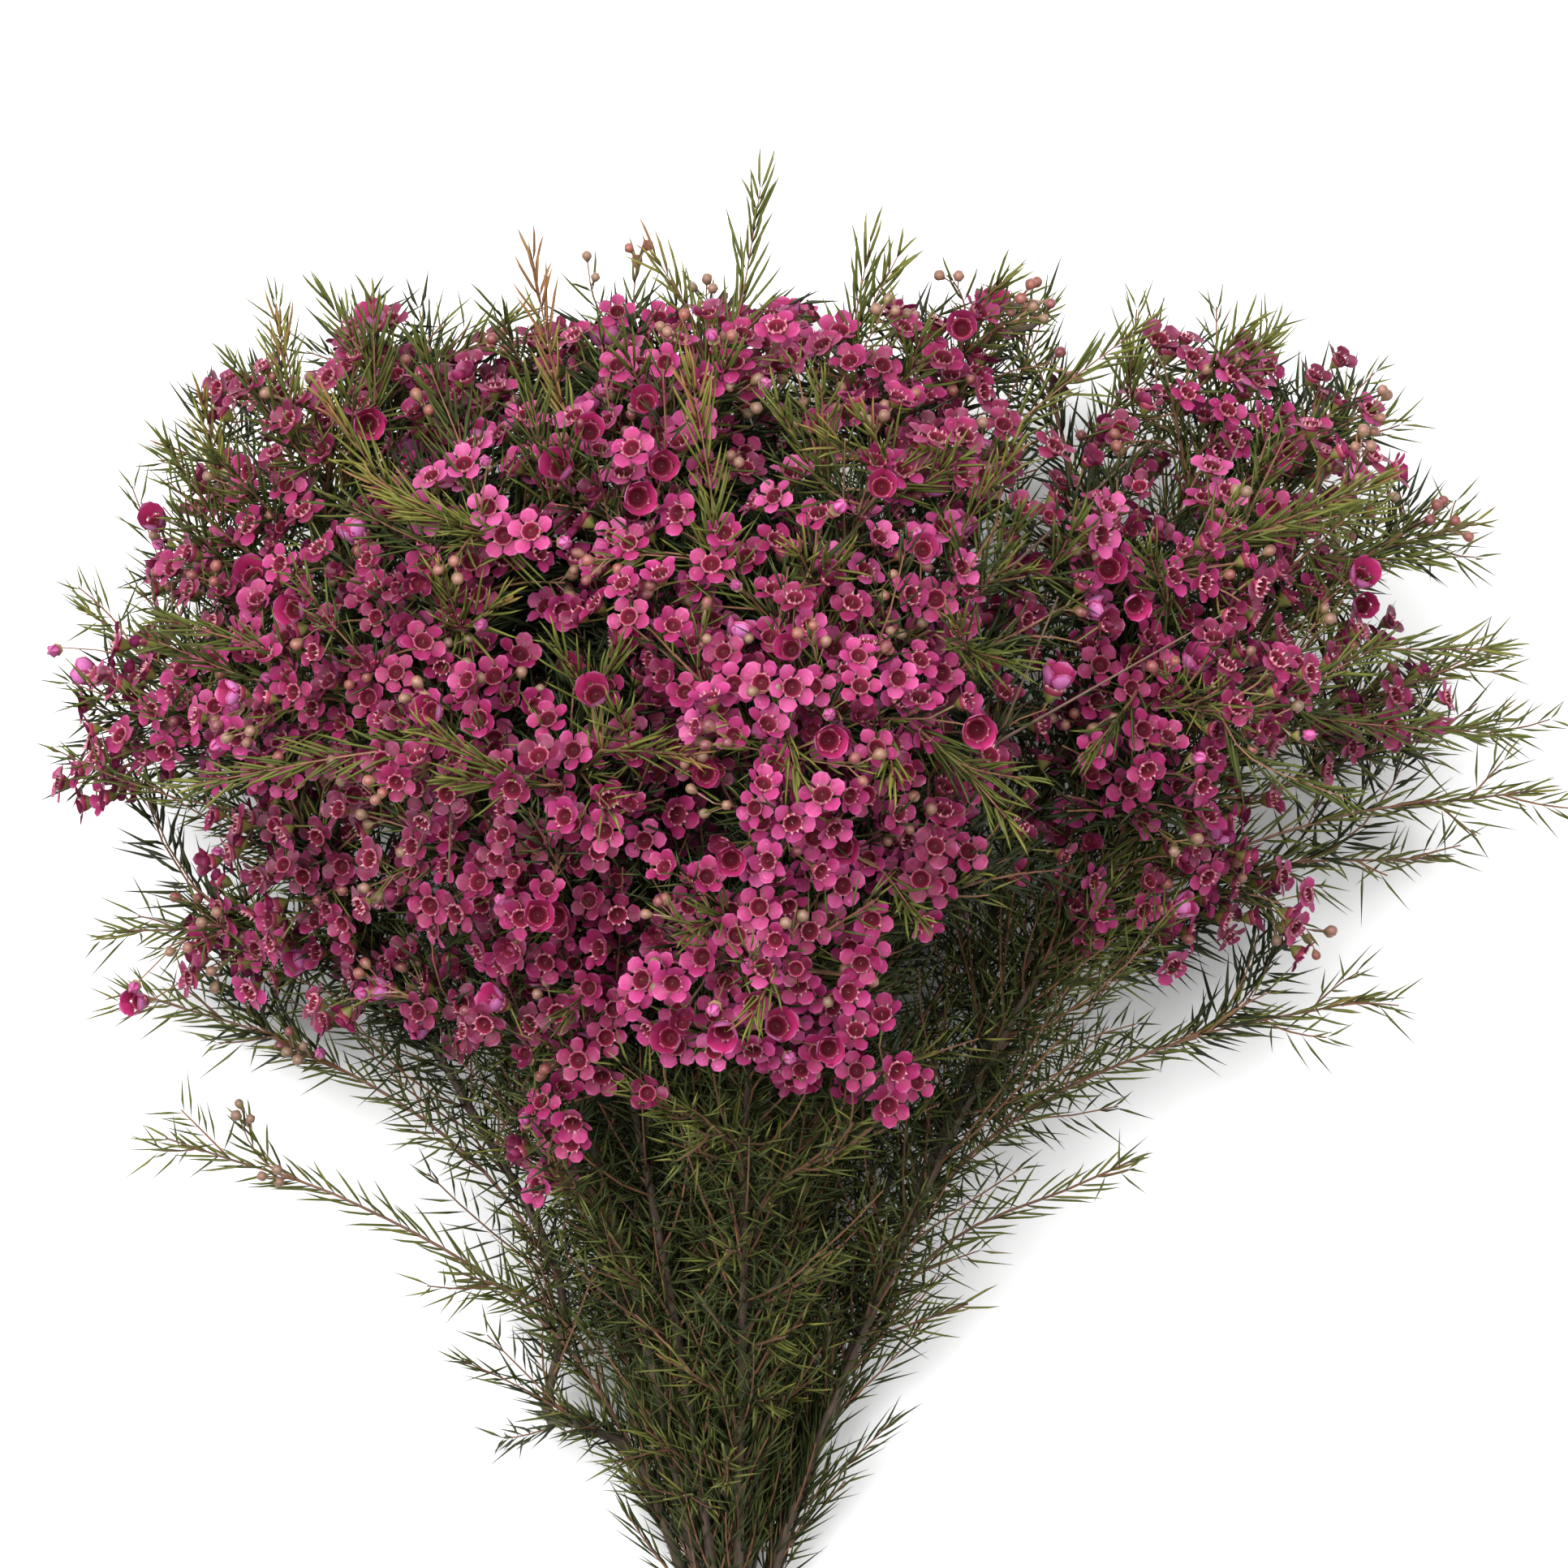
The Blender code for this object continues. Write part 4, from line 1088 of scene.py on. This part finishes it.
# The petal tint runs from dark crimson to bright magenta. Spent flowers take its dark end as their own
# colour, and flowers given a low tint for lying in shade take it as painted shade.
body = petal.ramp(
    tint, (0.0, (0.070, 0.002, 0.016)), (0.2, (0.14, 0.005, 0.038)), (0.45, (0.245, 0.0095, 0.080)),
    (0.7, (0.345, 0.028, 0.145)), (0.8, (0.385, 0.056, 0.19)), (0.9, (0.40, 0.022, 0.13)),
    (1.0, (0.34, 0.018, 0.10)),
)
back = petal.ramp(
    tint, (0.0, (0.15, 0.008, 0.035)), (0.5, (0.42, 0.045, 0.18)), (0.75, (0.50, 0.10, 0.30)),
    (0.9, (0.60, 0.17, 0.45)), (1.0, (0.62, 0.22, 0.52)),
)
edge = petal.ramp(along, (0.0, (0.38, 0.22, 0.26)), (0.35, (0.74, 0.58, 0.66)), (0.7, 1.0), (1.0, 1.0))
pink = petal.mixed(backs.outputs["Value"], body, back)
pink = petal.mixed(1.0, pink, edge, "MULTIPLY")
pink = petal.mixed(petal.ramp(veins, (0.35, 0.0), (0.7, 0.3)), pink, (0.26, 0.006, 0.06))
pink = petal.mixed(petal.ramp(blush, (0.48, 0.0), (0.75, 0.2)), pink, (0.48, 0.09, 0.26))
rim = petal.times(petal.ramp(along, (0.78, 0.0), (1.0, 1.0)), petal.ramp(tint, (0.8, 0.3), (0.9, 0.85)))
pink = petal.mixed(rim, pink, (0.58, 0.20, 0.42))
petal.surface(pink, petal.ramp(veins, (0.3, 0.45), (0.7, 0.65)), veins, 0.18 * MM, 0.35)

petal_sets = {state: [(petal_mesh(*shape), []) for shape in shapes] for state, shapes in PETAL_SHAPES.items()}
for state, matrix, _, shade in flowers:
    tint = shade if state == "open" else min(1.0, max(0.0, draw.gauss(*PETAL_TINTS[state])))
    if state == "closed":
        matrix = matrix @ Matrix.Scale(CLOSED_SIZE, 4)
    draw.choice(petal_sets[state])[1].append((matrix, tint))
for state, sets in petal_sets.items():
    for number, (shape, places) in enumerate(sets, 1):
        bm = bmesh.new()
        sow(bm, shape, places)
        petals = piece(bm, f"{state}_petals_{number}", petal.material)
        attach(petals, "root")
        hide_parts(*head_names)


# The cup in the middle of each flower: a dark wine-red funnel with a pale style in it, and
# round its rim a ring of ten pale short teeth, which are the stamens.
CUP_PROFILE = ((2.9, -1.7, 0.5), (3.35, 0.4, 0.72), (2.75, 0.45, 0.5), (1.5, -1.1, 0.1))
CUP_SIDES = 10
CUP_RADIUS = 3.2 * MM
TOOTH_ROOT = 0.35 * MM
TOOTH_RADIUS = 0.85 * MM
TOOTH_LENGTH = 1.7 * MM
TOOTH_TINTS = (0.72, 0.84)
STYLE_TINTS = (0.9, 1.0)


def turned_rings(bm, sides, profile):
    """A closed shape round +Z, from a radius and a height in millimetres and a shade a ring."""
    rows = []
    for radius, height, shade in profile:
        points = [Vector((x * radius, y * radius, height)) * MM for x, y in corners(sides)]
        rows.append([(point, (0, shade, 0)) for point in points])
    rings(bm, rows)
    bmesh.ops.recalc_face_normals(bm, faces=bm.faces)


def cup_mesh(teeth):
    """The funnel, its teeth and its style.  The attribute's second value picks their shade."""
    bm = bmesh.new()
    turned_rings(bm, CUP_SIDES, CUP_PROFILE)
    layer = bm.verts.layers.float_vector["place"]
    for k in range(teeth):
        leaning = draw.uniform(-0.3, 0.6)
        turned = Matrix.Rotation(math.tau * (k + draw.uniform(-0.2, 0.2)) / teeth, 4, "Z")
        turned = turned @ Matrix.Translation((CUP_RADIUS, 0, TOOTH_ROOT)) @ Matrix.Rotation(leaning, 4, "Y")
        tooth = bmesh.ops.create_cone(
            bm, cap_ends=True, segments=3, radius1=TOOTH_RADIUS, radius2=0, depth=TOOTH_LENGTH,
            matrix=turned @ Matrix.Translation((0, 0, 0.5 * MM)) @ Matrix.Diagonal((0.55, 1, 1, 1)),
        )["verts"]
        tip = max(tooth, key=lambda vert: vert.co.z)
        for vert in tooth:
            vert[layer] = (0, TOOTH_TINTS[vert is tip], 0)
    style = bmesh.ops.create_cone(
        bm, cap_ends=True, segments=3, radius1=0.26 * MM, radius2=0.14 * MM, depth=2.0 * MM,
        matrix=Matrix.Translation((0, 0, -0.1 * MM)),
    )
    for vert in style["verts"]:
        vert[layer] = (0, STYLE_TINTS[vert.co.z > 0], 0)
    return mesh_of(bm, "cup")


cup = Finish("waxflower_cup")
_, along, tint = cup.place()
speckle = cup.noise(1200.0)
wine = cup.ramp(
    along, (0.0, (0.070, 0.004, 0.010)), (0.3, (0.11, 0.005, 0.018)), (0.5, (0.19, 0.009, 0.040)),
    (0.66, (0.42, 0.07, 0.13)), (0.78, (0.68, 0.34, 0.38)), (0.86, (0.72, 0.47, 0.44)),
    (0.9, (0.24, 0.10, 0.05)), (1.0, (0.50, 0.26, 0.20)),
)
wine = cup.mixed(cup.times(speckle, 0.35), wine, (0.07, 0.004, 0.012))
wine = cup.mixed(cup.times(tint, 0.45), wine, (0.10, 0.02, 0.02), "MULTIPLY")
cup.surface(wine, cup.ramp(along, (0.5, 0.75), (0.7, 0.65)), speckle, 0.1 * MM, 0.15)

bm = bmesh.new()
fresh_cups = [cup_mesh(10), cup_mesh(10), cup_mesh(10)]
spent_cup = cup_mesh(5)
for i, shape in enumerate(fresh_cups):
    fresh = [matrix for state, matrix, _, _ in flowers[i::3] if state in ("open", "half_open")]
    sow(bm, shape, [(matrix, draw.random()) for matrix in fresh])
spent = [matrix for state, matrix, _, _ in flowers if state == "spent"]
sow(bm, spent_cup, [(matrix, draw.random()) for matrix in spent])
cups = piece(bm, "flower_cups", cup.material, math.radians(40))
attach(cups, "root")
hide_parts(*head_names)


# The calyx under each flower: a small ribbed top shape, olive green, on a thin stalk that
# joins it to its twig.
CALYX_PROFILE = ((0.4, -5.4), (1.2, -4.4), (2.6, -2.4), (2.95, -1.6))
CALYX_SIDES = 6
CALYX_FOOT = Vector((0, 0, -5.0)) * MM


def turned_mesh(name, sides, profile):
    """A closed shape round +Z, shaded along its height, from radii and heights in millimetres."""
    low, high = profile[0][1], profile[-1][1]
    bm = bmesh.new()
    turned_rings(bm, sides, [(radius, height, (height - low) / (high - low)) for radius, height in profile])
    return closed_mesh(bm, name)


def stalk_to(root, foot, width):
    """The place of a stalk from its twig to the foot of a flower or bud."""
    reach = foot - root
    return looking(root, reach.normalized(), any_way(), (width, width, reach.length))


calyx = Finish("waxflower_calyx")
_, along, tint = calyx.place()
glands = calyx.noise(1500.0)
olive = calyx.ramp(
    along, (0.0, (0.17, 0.12, 0.035)), (0.4, (0.12, 0.13, 0.022)), (0.8, (0.17, 0.15, 0.03)),
    (1.0, (0.26, 0.07, 0.06)),
)
fresh = calyx.ramp(along, (0.0, (0.26, 0.24, 0.05)), (0.6, (0.27, 0.30, 0.05)), (1.0, (0.36, 0.25, 0.14)))
green = calyx.mixed(tint, olive, fresh)
green = calyx.mixed(calyx.times(glands, 0.5), green, (0.05, 0.045, 0.012))
calyx.surface(green, calyx.ramp(glands, (0.3, 0.4), (0.7, 0.6)), glands, 0.12 * MM)

calyx_shape = turned_mesh("calyx", CALYX_SIDES, CALYX_PROFILE)
stalk_shape = turned_mesh("stalk", 3, ((0.3, 0), (0.42, 1000)))
placed, stalks = [], []
for state, matrix, root, _ in flowers:
    open_tint, spent_tint = draw.uniform(0, 0.35), draw.uniform(0, 0.15)
    fresh = {"open": open_tint, "spent": spent_tint, "half_open": 0.9, "closed": 0.7}[state]
    if state == "closed":
        matrix = matrix @ Matrix.Scale(CLOSED_SIZE, 4)
    placed.append((matrix, fresh))
    stalks.append((stalk_to(root, matrix @ CALYX_FOOT, 1), fresh))
bm = bmesh.new()
sow(bm, calyx_shape, placed)
sow(bm, stalk_shape, stalks)
calyces = piece(bm, "calyces", calyx.material)
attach(calyces, "root")
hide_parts(*head_names)


# The buds: little round balls in twos to fours on short stalks, tan, salmon or beige.
BUD_GAP = 5.2 * MM
BUD_CHANCE = 0.42
BUD_FLOOR = 6 * MM
BUD_SIDES = 6
BUD_PROFILE = ((0.35, -2.9), (1.15, -2.0), (1.95, -0.9), (2.15, 0.2), (1.75, 1.4), (0.85, 2.0), (0, 2.1))
BUD_FOOT = Vector((0, 0, -2.8)) * MM

bud = Finish("waxflower_bud")
_, along, tint = bud.place()
grain = bud.noise(900.0)
patches = bud.noise(350.0, 2.0)
top = bud.ramp(
    tint, (0.0, (0.19, 0.12, 0.075)), (0.35, (0.24, 0.12, 0.08)), (0.6, (0.25, 0.075, 0.055)),
    (0.8, (0.19, 0.038, 0.04)), (1.0, (0.13, 0.02, 0.035)),
)
base = bud.ramp(tint, (0.0, (0.20, 0.16, 0.07)), (1.0, (0.22, 0.10, 0.06)))
skin = bud.mixed(bud.ramp(along, (0.35, 0.0), (0.6, 1.0)), base, top)
skin = bud.mixed(bud.ramp(patches, (0.45, 0.0), (0.7, 0.25)), skin, (0.36, 0.21, 0.16))
skin = bud.mixed(bud.times(grain, 0.3), skin, (0.14, 0.06, 0.045))
bud.surface(skin, bud.ramp(grain, (0.3, 0.35), (0.7, 0.55)), grain, 0.1 * MM)

bud_shape = turned_mesh("bud", BUD_SIDES, BUD_PROFILE)
groups = [(path, draw.choice((2, 3, 3, 4))) for path in bud_tips]
groups += [(path, draw.choice((1, 2, 3))) for path in cluster_ends if draw.random() < BUD_CHANCE]
placed, stalks = [], []
for path, wanted in groups:
    run = resampled(path, 2 * MM)
    shade = draw.random()
    for attempt in range(wanted):
        root, heading, ring = near_tip(run, 2, attempt)
        stalk = (heading + ring * draw.uniform(0.4, 0.9) + Vector((0, 0, 0.3))).normalized()
        middle = root + stalk * draw.uniform(7, 11) * MM
        if middle.z < BUD_FLOOR or crowded(middle, BUD_GAP):
            continue
        taken.setdefault(cell(middle), []).append(middle)
        size = draw.uniform(0.85, 1.1)
        matrix = looking(middle, stalk, any_way(), (size, size, size))
        placed.append((matrix, min(1.0, max(0.0, shade + draw.gauss(0, 0.12)))))
        stalks.append((stalk_to(root, matrix @ BUD_FOOT, 0.8), 0.4))
bm = bmesh.new()
sow(bm, bud_shape, placed)
sow(bm, stalk_shape, stalks)
buds = piece(bm, "buds", bud.material)
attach(buds, "root")
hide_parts(*head_names)


# The floor and the light: a plain near-white surface under soft lamps, as in a studio.
FLOOR_SIZE = 4.0
FLOOR_WHITE = (0.93, 0.93, 0.93, 1)
WORLD_LIGHT = 0.05
LAMPS = (
    ("left_lamp", (-1.0, 0.7, 1.9), 1.6, 70), ("right_lamp", (1.1, 0.3, 1.85), 1.8, 36),
    ("far_lamp", (0.0, 1.6, 1.7), 1.5, 34),
)
LIT_PLACE = Vector((0.02, 0.34, 0.1))

floor_mesh = bmesh.new()
bmesh.ops.create_grid(floor_mesh, x_segments=1, y_segments=1, size=FLOOR_SIZE)
paper = Finish("pale_floor")
paper.shader.inputs["Base Color"].default_value = FLOOR_WHITE
paper.shader.inputs["Roughness"].default_value = 0.9
floor = piece(floor_mesh, "floor", paper.material)

world = bpy.data.worlds.new("studio")
world.use_nodes = True
background = world.node_tree.nodes["Background"].inputs
background["Color"].default_value = (1, 1, 1, 1)
background["Strength"].default_value = WORLD_LIGHT
bpy.context.scene.world = world
for name, place, size, power in LAMPS:
    lamp = bpy.data.objects.new(name, bpy.data.lights.new(name, "AREA"))
    lamp.data.size = size
    lamp.data.energy = power
    lamp.location = place
    lamp.rotation_euler = (LIT_PLACE - lamp.location).to_track_quat("-Z", "Y").to_euler()
    bpy.context.scene.collection.objects.link(lamp)
bpy.context.scene.view_settings.view_transform = "Standard"
